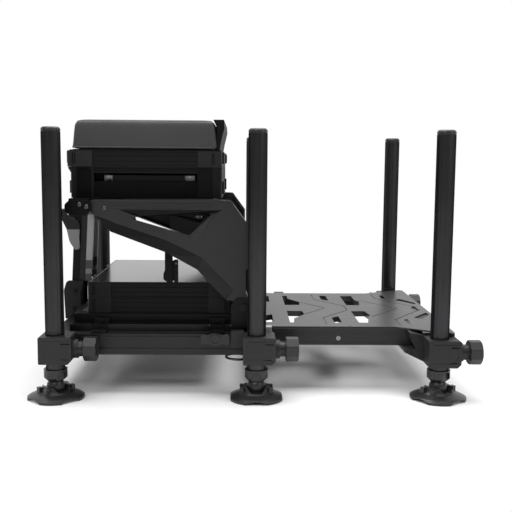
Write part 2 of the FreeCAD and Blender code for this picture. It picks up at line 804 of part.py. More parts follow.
def lock_knob():
    """Two-winged knob outside the side rail, with the shaft that presses on the footplate rail."""
    y0 = inset(rail_inset)
    wings = [(-28, -11, 5), (-14, -8, 6), (0, -13, 8), (14, -8, 6), (28, -11, 5),
             (28, 13, 5), (14, 10, 6), (0, 14, 8), (-14, 10, 6), (-28, 13, 5)]
    head = plate_y([(lock_x + p[0], lock_z + p[1], p[2]) for p in wings], y0 - 20, y0 - 7)
    hub = rod((lock_x, y0 - 23, lock_z), (0, 1, 0), 11.5, 23 - seat_gap)
    shaft = rod((lock_x, y0 - 2, lock_z), (0, 1, 0), lock_shaft / 2, rail_width + 4)
    socket = rod((lock_x, y0 - 24, lock_z), (0, 1, 0), 6.5, 3)
    return fused([head, hub, shaft]).cut(socket)


ring_stem_x = mid_x - 9.0
ring_stem_radius = 4.0
ring_radius = 25.5
ring_wire = 2.4
ring_z = 64.0
ring_y = inset(72)


def pull_ring():
    """Spring plunger under the footplate rail, with a flat ring at its lower end."""
    centre = ring_stem_x - ring_radius
    ring = Part.makeTorus(ring_radius, ring_wire, Vec(centre, ring_y, ring_z))
    stem = rod((ring_stem_x, ring_y, ring_z - 5), (0, 0, 1), ring_stem_radius,
               foot_rail_bottom - seat_gap - ring_z + 5)
    return fused([ring, stem])


# Rear lever
lever_x = rear_x - 4.0
lever_z = 318.0
lever_pin = 8.0


def release_lever():
    """Fork of two curved plates beside the column, joined behind it, on one pin."""
    half = column_width / 2 + pivot_gap
    plate = 5.0
    x, z = lever_x, lever_z
    points = [(x - 36, z + 30, 3), (x - 30, z + 9, 12), (x - 20, z - 12, 12), (x - 14, z - 40, 30),
              (x - 2, z - 58, 4), (x + 8, z - 54, 4), (x + 7, z - 28, 20), (x + 9, z - 4, 8),
              (x + 4, z + 8, 8), (x - 14, z + 14, 8), (x - 25, z + 31, 3)]
    plates = [plate_y(points, a, a + plate) for a in (-half - plate, half)]
    bridge = plate_y([(x - 36, z + 30), (x - 32.4, z + 20), (x - 22, z + 20), (x - 25, z + 30)],
                     -half - plate, half + plate)
    pin = rod((x, -half - plate, z), (0, 1, 0), lever_pin / 2, 2 * (half + plate))
    return fused(plates + [bridge, pin])


# Seat frame
bar_x0 = rear_x + 20
bar_x1 = rear_x + 60


def arm_outline():
    """Arm seen from the side, anticlockwise in X and Z, with its eye round the pivot pin."""
    r, m = rear_x, mid_x
    return [(r + 99, 316), (r + 206, 276), (m - 117, 242), (m - 62, 183), (m - 36, 181),
            (m - 21, 185), (m - 21, 337), (m - 51, arm_top), (m - 82, arm_top + 2),
            (r + 61, arm_top), (r + 65, 351)]


def arm_window():
    """Corners of the triangular window, anticlockwise in X and Z."""
    return [(rear_x + 130, 344.7), (mid_x - 132, 309.8), (mid_x - 85, 353.3)]


def arm_window_face():
    """Corners of the bevel round the window, on the arm's outer face."""
    return [(rear_x + 115, 360.3), (mid_x - 120.6, 292.6), (mid_x - 66.2, 360.1)]


def seat_arm():
    """Right-hand side arm: bevelled outer face, triangular window and a hollow back."""
    y0 = inset(arm_inset)
    y1 = y0 + arm_width
    shape = plate_y(arm_outline(), y0, y1, 3)
    lug = rod((arm_pivot_x, y0, arm_pivot_height), (0, 1, 0), arm_lug_radius, arm_width)
    neck = plate_y([(arm_pivot_x - 15, arm_pivot_height), (arm_pivot_x + arm_lug_radius - 0.5,
                    arm_pivot_height), (mid_x - 21, 200), (arm_pivot_x - 30, 200)], y0, y1)
    shape = fused([shape, lug, neck])
    window = plate_y(arm_window(), y0 - 1, y1 + 1, 3)
    bevel = flared(arm_window_face(), arm_window(), y0 - 0.01, y0 + arm_bevel)
    pocket = plate_y(shrunk(arm_outline(), arm_skin), y0 + arm_face_depth, y1 + 1)
    pocket = pocket.cut(plate_y(shrunk(arm_window(), -arm_skin), y0, y1 + 2))
    pocket = pocket.cut(rod((arm_pivot_x, y0, arm_pivot_height), (0, 1, 0), 40, arm_width + 2))
    pocket = pocket.cut(box(rear_x + 180, rear_x + 260, y0, y1 + 2, 200, 320))
    sill = plate_y([(x, z - arm_skin - 1) for x, z in arm_window()], y0 + arm_face_depth, y1 + 1)
    skirt = edge_bevel(y0)
    back = back_bevel(y0 + arm_slope, y1)
    grooves = []
    for z in (arm_top - 5, arm_top - 10, arm_top - 15):
        grooves.append(box(rear_x + 90, mid_x - 86, y0 - 1, y0 + 1, z - 1, z))
    pin = rod((arm_pivot_x, y0 - 1, arm_pivot_height), (0, 1, 0),
              pivot_pin_diameter / 2 + running_gap, arm_width + 2)
    slot = box(mid_x - 62, mid_x - 46, y0 + 6, y1 - 6, arm_top - 8, arm_top + 4)
    return shape.cut([window, bevel, pocket, sill, skirt, back, pin, slot] + grooves)


def back_bevel(y_low, y_back):
    """Wedge under the lower beam, rising from y_low to the arm's inner face."""
    low = [(mid_x - 62, 183), (mid_x - 117, 242), (rear_x + 206, 276), (rear_x + 99, 316)]
    drop = 3.0
    wedges = []
    for a, b in zip(low, low[1:]):
        rises = ((a, -drop), (b, -drop), (b, arm_back_rise), (a, arm_back_rise))
        near = [Vec(p[0], y_back + 0.5, p[1] + rise) for p, rise in rises]
        deep = [Vec(p[0], y_low, p[1] - drop) for p in (a, b)]
        wedges.append(wedge_solid(near, deep))
    return Part.makeCompound(wedges)


def edge_bevel(y0):
    """Wedge that slopes the outer face down to the arm's lower edge."""
    depth = arm_slope
    low = [(rear_x + 65, 351), (rear_x + 99, 316), (rear_x + 206, 276), (mid_x - 117, 242),
           (mid_x - 62, 183)]
    high = [(rear_x + 66, 352), (rear_x + 101, 338), (rear_x + 211, 301), (mid_x - 106, 268),
            (mid_x - 44, 205)]
    wedges = []
    for i in range(len(low) - 1):
        a, b = low[i], low[i + 1]
        c, d = high[i + 1], high[i]
        drop = 3.0
        near = [Vec(p[0], y0 - 0.5, p[1] + q) for p, q in ((a, -drop), (b, -drop), (c, 0), (d, 0))]
        deep = [Vec(p[0], y0 + depth, p[1] - drop) for p in (a, b)]
        wedges.append(wedge_solid(near, deep))
    return Part.makeCompound(wedges)


def window_web():
    """Thin panel that closes the window of the left arm, drawn on the right-hand side."""
    y0 = inset(arm_inset) + arm_bevel
    return plate_y(shrunk(arm_window(), -1), y0, y0 + arm_web)


def wedge_solid(near, deep):
    """Closed solid over four front corners and two deep ones below them."""
    rings = [
        [near[0], near[1], near[2]],
        [near[0], near[2], near[3]],
        [near[0], deep[0], deep[1]],
        [near[0], deep[1], near[1]],
        [near[1], deep[1], near[2]],
        [near[0], near[3], deep[0]],
        [deep[0], near[3], near[2]],
        [deep[0], near[2], deep[1]],
    ]
    faces = [Part.Face(Part.makePolygon(ring + [ring[0]])) for ring in rings]
    return Part.makeSolid(Part.makeShell(faces))


def seat_cross_bars():
    """Rear and front bars between the arms, and the end caps bolted over the rear bar."""
    half_arm = half_track - arm_inset - arm_width
    reach = half_track - arm_inset
    top = deep_tray_bottom - seat_gap
    rear = box(bar_x0, bar_x1, -reach, reach, cross_bar_bottom, top)
    core = box(bar_x0 + 3, bar_x1 - 3, -reach, reach, cross_bar_bottom + 3, top - 3)
    front_x0 = mid_x - front_bar_back
    front_x1 = front_x0 + front_bar_width
    front = box(front_x0, front_x1, -half_arm, half_arm, front_bar_bottom, top)
    front_core = box(front_x0 + 3, front_x1 - 3, -half_arm, half_arm, front_bar_bottom + 3,
                     top - 3)
    y0 = inset(arm_inset)
    low = cross_bar_bottom
    high = top - 2.2
    cap = plate_y([(rear_x + 15, low + 6, 8), (rear_x + 27, low - 1, 6), (rear_x + 58, low - 1, 6),
                   (rear_x + 64, low + 6, 4), (rear_x + 64, high - 6.5, 4),
                   (rear_x + 58, high, 4), (rear_x + 24, high, 8), (rear_x + 15, high - 8.5, 6)],
                  y0 - arm_cap_length, y0)
    return [rear.cut(core), front.cut(front_core), cap, mirrored(cap)]


def arm_stop():
    """Right-hand stop under the arm: post, bulged pad and front plate on the low tray's rim."""
    y0 = inset(arm_inset + arm_width)
    y1 = y0 + arm_stop_width
    foot = lid_top + seat_gap
    back = rear_x + 202.5
    front = rear_x + 228.5
    post = box(back, back + 15, y0, y1, foot + 4, foot + 79)
    bulge = plate_y([(back - 3, foot + 7, 3), (back + 6, foot, 3), (back + 15, foot),
                     (back + 15, foot + 32), (back + 2, foot + 32, 3), (back - 3, foot + 18, 4)],
                    y0, y1)
    web = box(back + 14, front - 7, y0 + 3, y1 - 3, foot + 4, foot + 44)
    plate = box(front - 7.5, front, y0, y1, foot, foot + 46)
    return fused([post, bulge, web, plate])


# Trays
def corner_slots(starts, width, half, z0, z1, margin):
    """Thin upright slots in the corner blocks of a tray's two sides."""
    tools = []
    depth = 2.5
    for x in starts:
        for side in (-1, 1):
            a, b = sorted((side * (half - depth), side * (half + 1)))
            tools.append(box(x, x + width, a, b, z0 + margin, z1 - margin))
    return tools


def side_panels(x0, x1, half, z0, z1, rows, sides=(-1, 1)):
    """Shallow recess with fine grooves on a tray's sides, from x0 to x1."""
    tools = []
    for side in sides:
        a, b = sorted((side * (half - panel_recess), side * (half + 1)))
        tools.append(box(x0, x1, a, b, z0 + 1.5, z1 - 1.5))
        a, b = sorted((side * (half - panel_recess - 0.9), side * (half + 1)))
        for i in range(rows):
            z = z0 + (z1 - z0) * (i + 1) / (rows + 1)
            tools.append(box(x0, x1, a, b, z - 0.7, z + 0.7))
    return tools


def low_side_cuts(z0, z1):
    """Slots and panels on the sides of the low case or the low tray."""
    starts = [low_x0 + 10, low_x0 + 13.4, low_x1 - 15.2, low_x1 - 11.8]
    slots = corner_slots(starts, 1.7, low_tray_half_width, z0, z1, 4)
    return slots + side_panels(low_x0 + low_corner_block, low_x1 - low_corner_block,
                               low_tray_half_width, z0, z1, 2)


def tray_box(x0, x1, half, z0, z1, radius=6.0):
    return plate_z(rectangle(x0, x1, -half, half), z0, z1, radius)


def tray_well(x0, x1, half, z0, z1, wall, radius=4.0):
    return plate_z(rectangle(x0 + wall, x1 - wall, -half + wall, half - wall), z0, z1, radius)


low_x0 = rear_x + low_tray_rear
low_x1 = mid_x - low_tray_front


def low_case():
    """Case of the low drawer: closed on top, open towards the footplate."""
    half = low_tray_half_width
    body = tray_box(low_x0, low_x1, half, carrier_top, low_case_top)
    bay = box(low_x0 + tray_wall, low_x1 + 1, -half + tray_wall, half - tray_wall,
              carrier_top + 2, low_case_top - 2)
    return body.cut([bay] + low_side_cuts(carrier_top, low_case_top))


def low_drawer():
    """Drawer that slides out of the low case over the footplate."""
    gap = 0.5
    x0 = low_x0 + tray_wall + gap
    half = low_tray_half_width - tray_wall - gap
    z0 = carrier_top + 2 + seat_gap
    z1 = low_case_top - 2 - gap
    body = box(x0, low_x1 - 0.5, -half, half, z0, z1)
    well = plate_z(rectangle(x0 + 3, low_x1 - 5, -half + 3, half - 3), z0 + 2, z1 + 1, 5)
    grip = box(low_x1 - 3.5, low_x1, -45, 45, z1 - 9, z1 + 1)
    return body.cut([well, grip])


def low_tray():
    """Tray stacked on the low case, with a rim that holds the lid."""
    half = low_tray_half_width
    body = tray_box(low_x0, low_x1, half, low_tray_bottom, lid_top)
    well = tray_well(low_x0, low_x1, half, low_tray_bottom + 2, lid_top + 1, tray_wall)
    seat = box(low_x0 - 1, low_x1 + 1, -half + lid_edge, half - lid_edge, low_tray_top,
               lid_top + 1)
    shape = body.cut([well, seat] + low_side_cuts(low_tray_bottom, lid_top))
    return add_barrels(shape, low_x0, low_tray_top, (60, 75), -1, low_barrel_radius)


def low_lid():
    """Flat lid of the low tray, hinged at its rear edge."""
    half = low_tray_half_width - lid_edge - seat_gap
    z0 = low_tray_top + seat_gap
    lid = plate_z(rectangle(low_x0, low_x1, -half, half), z0, z0 + lid_thickness, 2)
    rim = 4.0
    line = box(low_x0 + rim, low_x0 + rim + 1, -half, half, lid_top - 0.6, lid_top + 1)
    front_line = box(low_x1 - rim - 1, low_x1 - rim, -half, half, lid_top - 0.6, lid_top + 1)
    shape = lid.cut([line, front_line])
    return add_barrels(shape, low_x0, low_tray_top, (75.3, 90), 1, low_barrel_radius)


def add_barrels(shape, edge_x, axis_z, span, side, radius, reach=2.0):
    """Two hinge barrels behind a rear edge; side is 1 above the axis and -1 below it."""
    axis_x = edge_x - radius - 0.5
    pieces = [shape]
    for end in (-1, 1):
        a, b = sorted((end * span[0], end * span[1]))
        pieces.append(rod((axis_x, a, axis_z), (0, 1, 0), radius, b - a))
        z0, z1 = sorted((axis_z + side * seat_gap, axis_z + side * radius * 0.9))
        pieces.append(box(axis_x, edge_x + reach, a, b, z0, z1))
    bore = rod((axis_x, -span[1] - 1, axis_z), (0, 1, 0), hinge_pin_radius, 2 * span[1] + 2)
    wide_bore = rod((axis_x, -span[1] - 1, axis_z), (0, 1, 0), hinge_pin_radius + running_gap,
                    2 * span[1] + 2)
    return fused(pieces).cut(bore if side < 0 else wide_bore)


def hinge_pins(edge_x, axis_z, y0, y1, radius):
    """The two pins of a hinge, through the fixed and the moving barrels."""
    axis_x = edge_x - radius - 0.5
    pins = []
    for end in (-1, 1):
        a, b = sorted((end * y0, end * y1))
        pins.append(rod((axis_x, a, axis_z), (0, 1, 0), hinge_pin_radius, b - a))
    return pins


drawer_x0 = tray_x0 + drawer_start
drawer_x1 = drawer_x0 + drawer_length
drawer_top = deep_tray_bottom + drawer_bay_height
handle_z0 = drawer_top + 0.5
handle_z1 = handle_z0 + handle_height


def deep_tray():
    """Deep tray: wells above and at both ends, and a drawer bay that opens to the right."""
    half = tray_half_width
    z0, z1 = deep_tray_bottom, deep_tray_top
    recess_top = handle_z1 + 4.5
    body = tray_box(deep_x0, tray_x1, half, z0, z1)
    flare = plate_y([(deep_x0 - 5.5, z1), (deep_x0 - 5.5, z1 - 3), (deep_x0, z1 - 12),
                     (deep_x0 + 1, z1 - 12), (deep_x0 + 1, z1)], -half + 7, half - 7)
    well = tray_well(deep_x0, tray_x1, half, recess_top + 2, z1 + 1, tray_wall)
    end_wells = [
        box(deep_x0 + tray_wall, drawer_x0 - 4, -half + tray_wall, half - tray_wall, z0 + 3, z1),
        box(drawer_x1 + 4, tray_x1 - tray_wall, -half + tray_wall, half - tray_wall, z0 + 3, z1),
    ]
    bay = box(drawer_x0, drawer_x1, -half - 1, half - tray_wall, z0 + 3, drawer_top)
    recess = box(drawer_x0, drawer_x1, -half - 1, -half + 22, z0 + 3, recess_top)
    tools = [well, bay, recess] + end_wells
    tools += side_panels(drawer_x0, drawer_x1, half, z0, z1, 4, (1,))
    tools += side_panels(drawer_x0, drawer_x1, half, recess_top + 1, z1, 2, (-1,))
    for side in (-1, 1):
        a, b = sorted((side * (half - 1.5), side * (half + 1)))
        for x0, x1 in ((tray_x0 + 22, tray_x0 + 48), (tray_x1 - 47, tray_x1 - 19)):
            tools.append(plate_y(rectangle(x0, x1, z0 + 5, z1 - 3), a, b, 4))
    shape = body.cut(tools)
    lugs = [flare]
    for y in (-150, 110):
        lugs.append(box(deep_x0 - 8, deep_x0 + 1, y, y + 40, z0 + 8, z0 + 33))
        lugs.append(box(tray_x1 - 1, tray_x1 + 3.5, y, y + 40, z0 + 8, z0 + 33))
    shape = fused([shape] + lugs)
    return add_barrels(shape, tray_x0, deep_tray_top, (60, 75), -1, hinge_barrel_radius,
                       deep_tray_setback + 2)


def side_drawer():
    """Drawer in the deep tray's bay, and the bar handle on two lugs above its front."""
    gap = 0.5
    half = tray_half_width
    x0 = drawer_x0 + gap
    x1 = drawer_x1 - gap
    z0 = deep_tray_bottom + 3 + seat_gap
    z1 = drawer_top - gap
    body = box(x0, x1, -half + 2, -half + drawer_depth, z0, z1)
    well = plate_z(rectangle(x0 + 3, x1 - 3, -half + 6, -half + drawer_depth - 3), z0 + 2, z1 + 1,
                   6)
    front = plate_y([(x0, z0, 0), (x1, z0, 0), (x1, z1, 13), (x0, z1, 9)], -half, -half + 4)
    lug_starts = (x0 + 26, x1 - 30)
    lug = 8.0
    lugs = [box(x, x + lug, -half, -half + 4, z1 - 12, handle_z0 + 3) for x in lug_starts]
    drawer = fused([body.cut(well), front] + lugs)
    handle = plate_y(rectangle(x0 + handle_start, x1 - 5, handle_z0, handle_z1), -half + 0.5,
                     -half + 9, 2)
    notch = [box(x, x + lug, -half - 1, -half + 4, handle_z0 - 1, handle_z0 + 3)
             for x in lug_starts]
    return [drawer, handle.cut(notch)]


def shallow_tray():
    """Shallow tray that closes the deep one, hinged at the rear."""
    half = tray_half_width
    z0, z1 = shallow_tray_bottom, shallow_tray_top
    body = tray_box(tray_x0, tray_x1, half, z0, z1)
    well = tray_well(tray_x0, tray_x1, half, z0 + 2, z1 + 1, tray_wall)
    starts = [tray_x0 + 10, tray_x0 + 14.2, tray_x1 - 20.2, tray_x1 - 16.4]
    slots = corner_slots(starts, 2.8, half, z0, z1, 5)
    panels = side_panels(tray_x0 + rear_corner_block, tray_x1 - front_corner_block, half, z0, z1,
                         2)
    lugs = [box(tray_x0 - 3, tray_x0 + 1, y, y + 28, z0 + 7, z0 + 30) for y in (-166, 138)]
    body = fused([body.cut([well] + slots + panels), clip_ears(), mirrored(clip_ears())] + lugs)
    shape = add_barrels(body, tray_x0, deep_tray_top, (75.3, 90), 1, hinge_barrel_radius)
    return add_barrels(shape, tray_x0, shallow_tray_top, (100, 115), -1, hinge_barrel_radius)


def seat_board():
    """Thin board under the cushion, set in from the tray and hinged at its rear."""
    half = tray_half_width - 3
    board = plate_z(rectangle(tray_x0 + seat_board_setback, tray_x1 - 2, -half, half),
                    seat_board_bottom, seat_board_top, 8)
    return add_barrels(board, tray_x0, shallow_tray_top, (115.3, 130), 1, hinge_barrel_radius,
                       seat_board_setback + 6)


def seat_cushion():
    """Crowned cushion: sides drawn in at the welt, leaning rear, rounded top."""
    base = seat_board_top + seat_gap
    x0 = cushion_x0
    x1 = cushion_x1
    half = cushion_half_width
    height = cushion_height
    # height share, rear, front and side draw-in, corner radius
    levels = [(0.0, 2.0, 2.0, 2.0, 8), (0.06, 0.0, 0.0, 0.0, 9), (0.5, 1.5, 1.5, 1.0, 9),
              (0.84, 3.0, 3.0, 2.5, 9), (0.94, 5.5, 5.5, 5.0, 10), (0.975, 14.0, 14.0, 14.0, 16),
              (1.0, 70.0, 66.0, 80.0, 45)]
    wires = []
    for share, rear, front, side, radius in levels:
        z = base + share * height
        points = rectangle(x0 + rear, x1 - front, -half + side, half - side)
        wires.append(outline(points, radius, lambda u, v, z=z: Vec(u, v, z)))
    return Part.makeLoft(wires, True, True)


def seat_front_lip():
    """Curved flap along the front of the cushion."""
    x = cushion_x1
    z = seat_board_top + seat_gap
    points = [(x + 5, z), (x + 11, z), (x + 14, z + 17), (x + 20.5, z + 44), (x + 19.5, z + 59),
              (x - 1.5, z + 59), (x - 0.5, z + 56), (x + 4.5, z + 46, 6), (x + 6, z + 25)]
    half = cushion_half_width - 4
    return plate_y(points, -half, half, 1)


def tray_clip():
    """Right-hand clip on the shallow tray's front; its leaf stands up to the board's edge."""
    x = tray_x1 + seat_gap + clip_eye
    z = clip_axis_z
    y0 = -clip_outer
    leaf = plate_y([(x - clip_eye, z), (x + clip_eye, z), (x + clip_eye + 0.5, z + 6),
                    (x + clip_eye + 0.5, z + 16), (x + 1, z + 21), (x - clip_eye, z + 21)],
                   y0, y0 + clip_width)
    shape = fused([leaf, rod((x, y0, z), (0, 1, 0), clip_eye, clip_width)])
    return shape.cut(rod((x, y0 - 1, z), (0, 1, 0), clip_pin + running_gap, clip_width + 2))


def clip_ears():
    """Two ears on the shallow tray's front and the pin between them, for the right-hand clip."""
    x = tray_x1 + seat_gap + clip_eye
    z = clip_axis_z
    ear = 4.0
    first = -clip_outer - seat_gap - ear
    solids = []
    for y0 in (first, -clip_outer + clip_width + seat_gap):
        solids.append(box(tray_x1 - 1, x, y0, y0 + ear, z - clip_eye, z + clip_eye))
        solids.append(rod((x, y0, z), (0, 1, 0), clip_eye, ear))
    length = clip_width + 2 * (seat_gap + ear)
    solids.append(rod((x, first, z), (0, 1, 0), clip_pin, length))
    return fused(solids)


# Fasteners
def screw(centre, axis, radius, height, shank=8.0):
    """Button-head screw with a hex socket, its shank behind the face it sits on."""
    c = Vec(*centre)
    a = Vec(*axis)
    head = Part.makeCylinder(radius, height, c, a)
    crown = [e for e in head.Edges if abs((e.CenterOfMass - c).dot(a) - height) < 0.01]
    head = head.makeFillet(height * 0.45, crown)
    stem = Part.makeCylinder(radius * 0.5, shank, c - a * shank, a)
    side = Vec(0, 0, 1) if abs(a.z) < 0.5 else Vec(1, 0, 0)
    across = a.cross(side)
    points = []
    for i in range(7):
        angle = math.radians(60 * i)
        offset = side * math.cos(angle) + across * math.sin(angle)
        points.append(c + a * (height * 0.4) + offset * (radius * 0.45))
    socket = Part.Face(Part.makePolygon(points)).extrude(a * height)
    return head.cut(socket), stem


def fastened(part, screws):
    """Screw heads, and the part with holes for their shanks."""
    solids = []
    for head, stem in screws:
        solids.append(head.fuse(stem).removeSplitter())
        part = part.cut(stem)
    return part, solids


def build_legs():
    rows = (("rear", rear_x, 0.0), ("middle", mid_x, 0.0), ("front", front_x, front_clamp_drop))
    for name, x, drop in rows:
        for side_name, side in (("right", right), ("left", left)):
            y = side * half_track
            tag = name + "_" + side_name
            collar = foot_collar(x, y)
            collar.rotate(Vec(x, y, 0), Vec(0, 0, 1), -side * foot_turn[name])
            save("leg_tube_" + tag, leg_tube(x, y))
            save("leg_fittings_" + tag, Part.makeCompound([leg_cap(x, y), collar]))
            save("foot_" + tag, foot(x, y, -side * foot_turn[name]))
            save("clamp_knob_" + tag, clamp_knob(x, y, drop))
    save("rear_leg_clamps", pair(clamp_body(rear_x, 0.0, clamp_lug_height + 5)))
    save("middle_leg_clamps", pair(middle_clamp()))


def build_base():
    rail = side_rail()
    bracket = pivot_bracket()
    carrier = tray_carrier()
    column = rear_column()
    socket = column_socket()
    y_bracket = inset(pivot_bracket_inset)
    screws = []
    clip_brackets = []
    for piece in carrier_brackets():
        x = (piece.BoundBox.XMin + piece.BoundBox.XMax) / 2
        face = piece.BoundBox.YMax - 4
        piece, more = fastened(piece, [screw((x, face, carrier_bottom + 8), (0, -1, 0), 4, 3, 9)])
        stem = rod((x, face, carrier_bottom + 8), (0, 1, 0), 2, 9)
        carrier = carrier.cut([stem, mirrored(stem)])
        clip_brackets.append(piece)
        screws += more
    pin_y0 = y_bracket - seat_gap
    pin = rod((arm_pivot_x, y_bracket, arm_pivot_height), (0, 1, 0), pivot_pin_diameter / 2,
              arm_width + 2 * (cheek_thickness + seat_gap))
    head = rod((arm_pivot_x, pin_y0 - 3, arm_pivot_height), (0, 1, 0), 8, 3 + seat_gap)
    screws.append(fused([pin, head]))
    socket_holes = []
    for x, z in ((rear_x - 12, column_foot + 14), (rear_x - 8, column_foot + 52)):
        face = -column_width / 2 - 6
        head_stem = screw((x, face, z), (0, -1, 0), 4.5, 3, 14)
        screws.append(head_stem[0].fuse(head_stem[1]).removeSplitter())
        socket_holes += [head_stem[1], mirrored(head_stem[1])]
    rail_stem = screw((rear_x + clamp_nose + 22, inset(rail_inset), rail_top - 10), (0, -1, 0), 5, 3,
                      6)
    screws.append(rail_stem[0].fuse(rail_stem[1]).removeSplitter())
    rail = rail.cut(rail_stem[1])
    straps = pair(column_strap())
    column = column.cut(socket_holes).cut(straps.Solids)
    socket = [s.cut(socket_holes) for s in socket]
    rails = [rail, mirrored(rail)]
    rails += [slide_runner(), mirrored(slide_runner())]
    save("base_side_rails", Part.makeCompound(rails))
    save("base_cross_rails", Part.makeCompound([rear_cross_rail(), front_cross_rail()]))
    save("slide_guides", pair(slide_guide()))
    save("tray_carrier", carrier)
    save("rear_column", column)
    save("column_straps", straps)
    solids = socket + [bracket, mirrored(bracket)]
    for piece in clip_brackets:
        solids += [piece, mirrored(piece)]
    save("base_brackets", Part.makeCompound(solids))
    pins = hinge_pins(low_x0, low_tray_top, 60, 90, low_barrel_radius)
    save("base_screws", Part.makeCompound(screws + [mirrored(s) for s in screws] + pins))
    save("lock_knob_right", lock_knob())
    save("lock_knob_left", mirrored(lock_knob()))
    save("pull_ring", pull_ring())
    save("release_lever", release_lever())
    save("low_drawer_case", low_case())
    save("low_drawer", low_drawer())
    save("low_tray", low_tray())
    save("low_tray_lid", low_lid())


def build_footplate():
    rail = foot_rail()
    screws = []
    outer = inset(foot_rail_inset) + foot_rail_recess
    rail_screw = screw((mid_x + 165, outer, foot_rail_bottom + 14), (0, -1, 0), 5,
                       foot_rail_recess, foot_rail_wall - foot_rail_recess)
    rail, more = fastened(rail, [rail_screw])
    screws += more
    clamp = front_clamp()
    wing_x = front_x - clamp_back - 26
    y = -half_track + 24
    bolt = screw((wing_x, y, foot_rail_bottom - 5), (0, -1, 0), 4.5, 4, 12)
    clamp = clamp.cut(bolt[1])
    screws.append(bolt[0].fuse(bolt[1]).removeSplitter())
    deck = footplate_deck()
    bars = [foot_cross_bar(mid_x + 54, 18), foot_cross_bar(front_x + 4, 44)]
    frame = [rail, mirrored(rail)] + bars
    deck_screws = []
    for x in (mid_x + 12, mid_x + 190, front_x - 40):
        for side in (-1, 1):
            y = side * (half_track - foot_rail_inset - foot_rail_width / 2)
            head = rod((x, y, deck_top - 1.5), (0, 0, 1), 4.5, 1.5)
            stem = rod((x, y, foot_rail_top - 3), (0, 0, 1), 2.5, deck_thickness + 1.5)
            socket = rod((x, y, deck_top - 1), (0, 0, 1), 2, 2)
            piece = fused([head, stem])
            deck = deck.cut(piece)
            frame = [f.cut(piece) for f in frame]
            deck_screws.append(piece.cut(socket))
    save("footplate_frame", Part.makeCompound(frame))
    save("footplate_deck", deck)
    save("front_leg_clamps", pair(clamp))
    solids = screws + [mirrored(s) for s in screws] + deck_screws
    save("footplate_screws", Part.makeCompound(solids))


def build_seat():
    arm = seat_arm()
    bars = seat_cross_bars()
    y0 = inset(arm_inset)
    bolts = []
    for x, z in ((rear_x + 44, arm_top - 7.4), (rear_x + 57, arm_top - 12)):
        head, stem = screw((x, y0 - arm_cap_length, z), (0, -1, 0), 4.2, 3.2, arm_cap_length)
        bolts.append(head.fuse(stem).removeSplitter())
        bars = [b.cut([stem, mirrored(stem)]) for b in bars]
    head, stem = screw((rear_x + 89, y0, arm_top - 15), (0, -1, 0), 4.2, 3.2, 9)
    bolts.append(head.fuse(stem).removeSplitter())
    arm = arm.cut(stem)
    bar_bolt_y = inset(arm_inset + arm_width + 14)
    head, stem = screw((mid_x - front_bar_bolt_back, bar_bolt_y, front_bar_bottom), (0, 0, -1), 6, 6,
                       3)
    bolts.append(head.fuse(stem).removeSplitter())
    bars = [b.cut([stem, mirrored(stem)]) for b in bars]
    save("seat_arm_right", arm)
    save("seat_arm_left", mirrored(fused([arm, window_web()])))
    save("seat_cross_bars", Part.makeCompound(bars))
    stop = arm_stop()
    stop_bolt = screw((rear_x + 225, inset(arm_inset + arm_width), lid_top + 40), (0, -1, 0), 2.5, 2, 6)
    stop, stop_bolts = fastened(stop, [stop_bolt])
    save("arm_stops", stop)
    pins = hinge_pins(tray_x0, deep_tray_top, 60, 90, hinge_barrel_radius)
    bolts += [mirrored(b) for b in bolts] + stop_bolts
    save("seat_frame_bolts", Part.makeCompound(bolts + pins))
    save("deep_tray", deep_tray())
    save("side_drawer", Part.makeCompound(side_drawer()))
    lid_pins = hinge_pins(tray_x0, shallow_tray_top, 100, 130, hinge_barrel_radius)
    save("shallow_tray", Part.makeCompound([shallow_tray()] + lid_pins))
    save("seat_board", seat_board())
    save("seat_cushion", seat_cushion())
    save("seat_front_lip", seat_front_lip())
    save("tray_clip_right", tray_clip())
    save("tray_clip_left", mirrored(tray_clip()))


build_legs()
build_base()
build_footplate()
build_seat()
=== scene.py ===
import json
import math

import bmesh
import bpy
import numpy as np
from mathutils import Matrix, Vector
from mathutils.bvhtree import BVHTree


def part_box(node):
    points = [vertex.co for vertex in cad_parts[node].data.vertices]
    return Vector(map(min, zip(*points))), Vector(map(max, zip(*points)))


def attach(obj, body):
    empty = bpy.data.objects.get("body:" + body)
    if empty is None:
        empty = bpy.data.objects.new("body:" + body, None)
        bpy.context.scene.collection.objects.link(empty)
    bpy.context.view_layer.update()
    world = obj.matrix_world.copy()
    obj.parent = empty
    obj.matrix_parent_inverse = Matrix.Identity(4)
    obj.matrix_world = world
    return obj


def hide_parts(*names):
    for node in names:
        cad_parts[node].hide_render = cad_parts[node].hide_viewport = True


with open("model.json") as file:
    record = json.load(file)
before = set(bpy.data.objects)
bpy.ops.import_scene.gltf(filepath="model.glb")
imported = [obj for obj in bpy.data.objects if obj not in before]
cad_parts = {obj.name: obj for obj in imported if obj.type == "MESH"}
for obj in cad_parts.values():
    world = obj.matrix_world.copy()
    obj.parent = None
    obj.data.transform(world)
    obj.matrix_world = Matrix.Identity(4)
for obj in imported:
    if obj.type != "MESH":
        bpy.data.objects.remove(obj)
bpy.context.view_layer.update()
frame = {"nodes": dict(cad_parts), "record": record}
nodes = frame["nodes"]


# Material helpers, with the radii in metres over which edges look rounded and get a painted
# highlight
BEVEL_SAMPLES = 4
EDGE_ROUNDING = 0.0007
EDGE_HIGHLIGHT_RADIUS = 0.0011


def new_material(name):
    """An empty node material with its Principled shader linked to the output."""
    material = bpy.data.materials.new(name)
    material.use_nodes = True
    tree = material.node_tree
    tree.nodes.clear()
    out = tree.nodes.new("ShaderNodeOutputMaterial")
    shader = tree.nodes.new("ShaderNodeBsdfPrincipled")
    tree.links.new(shader.outputs["BSDF"], out.inputs["Surface"])
    return material, tree, shader


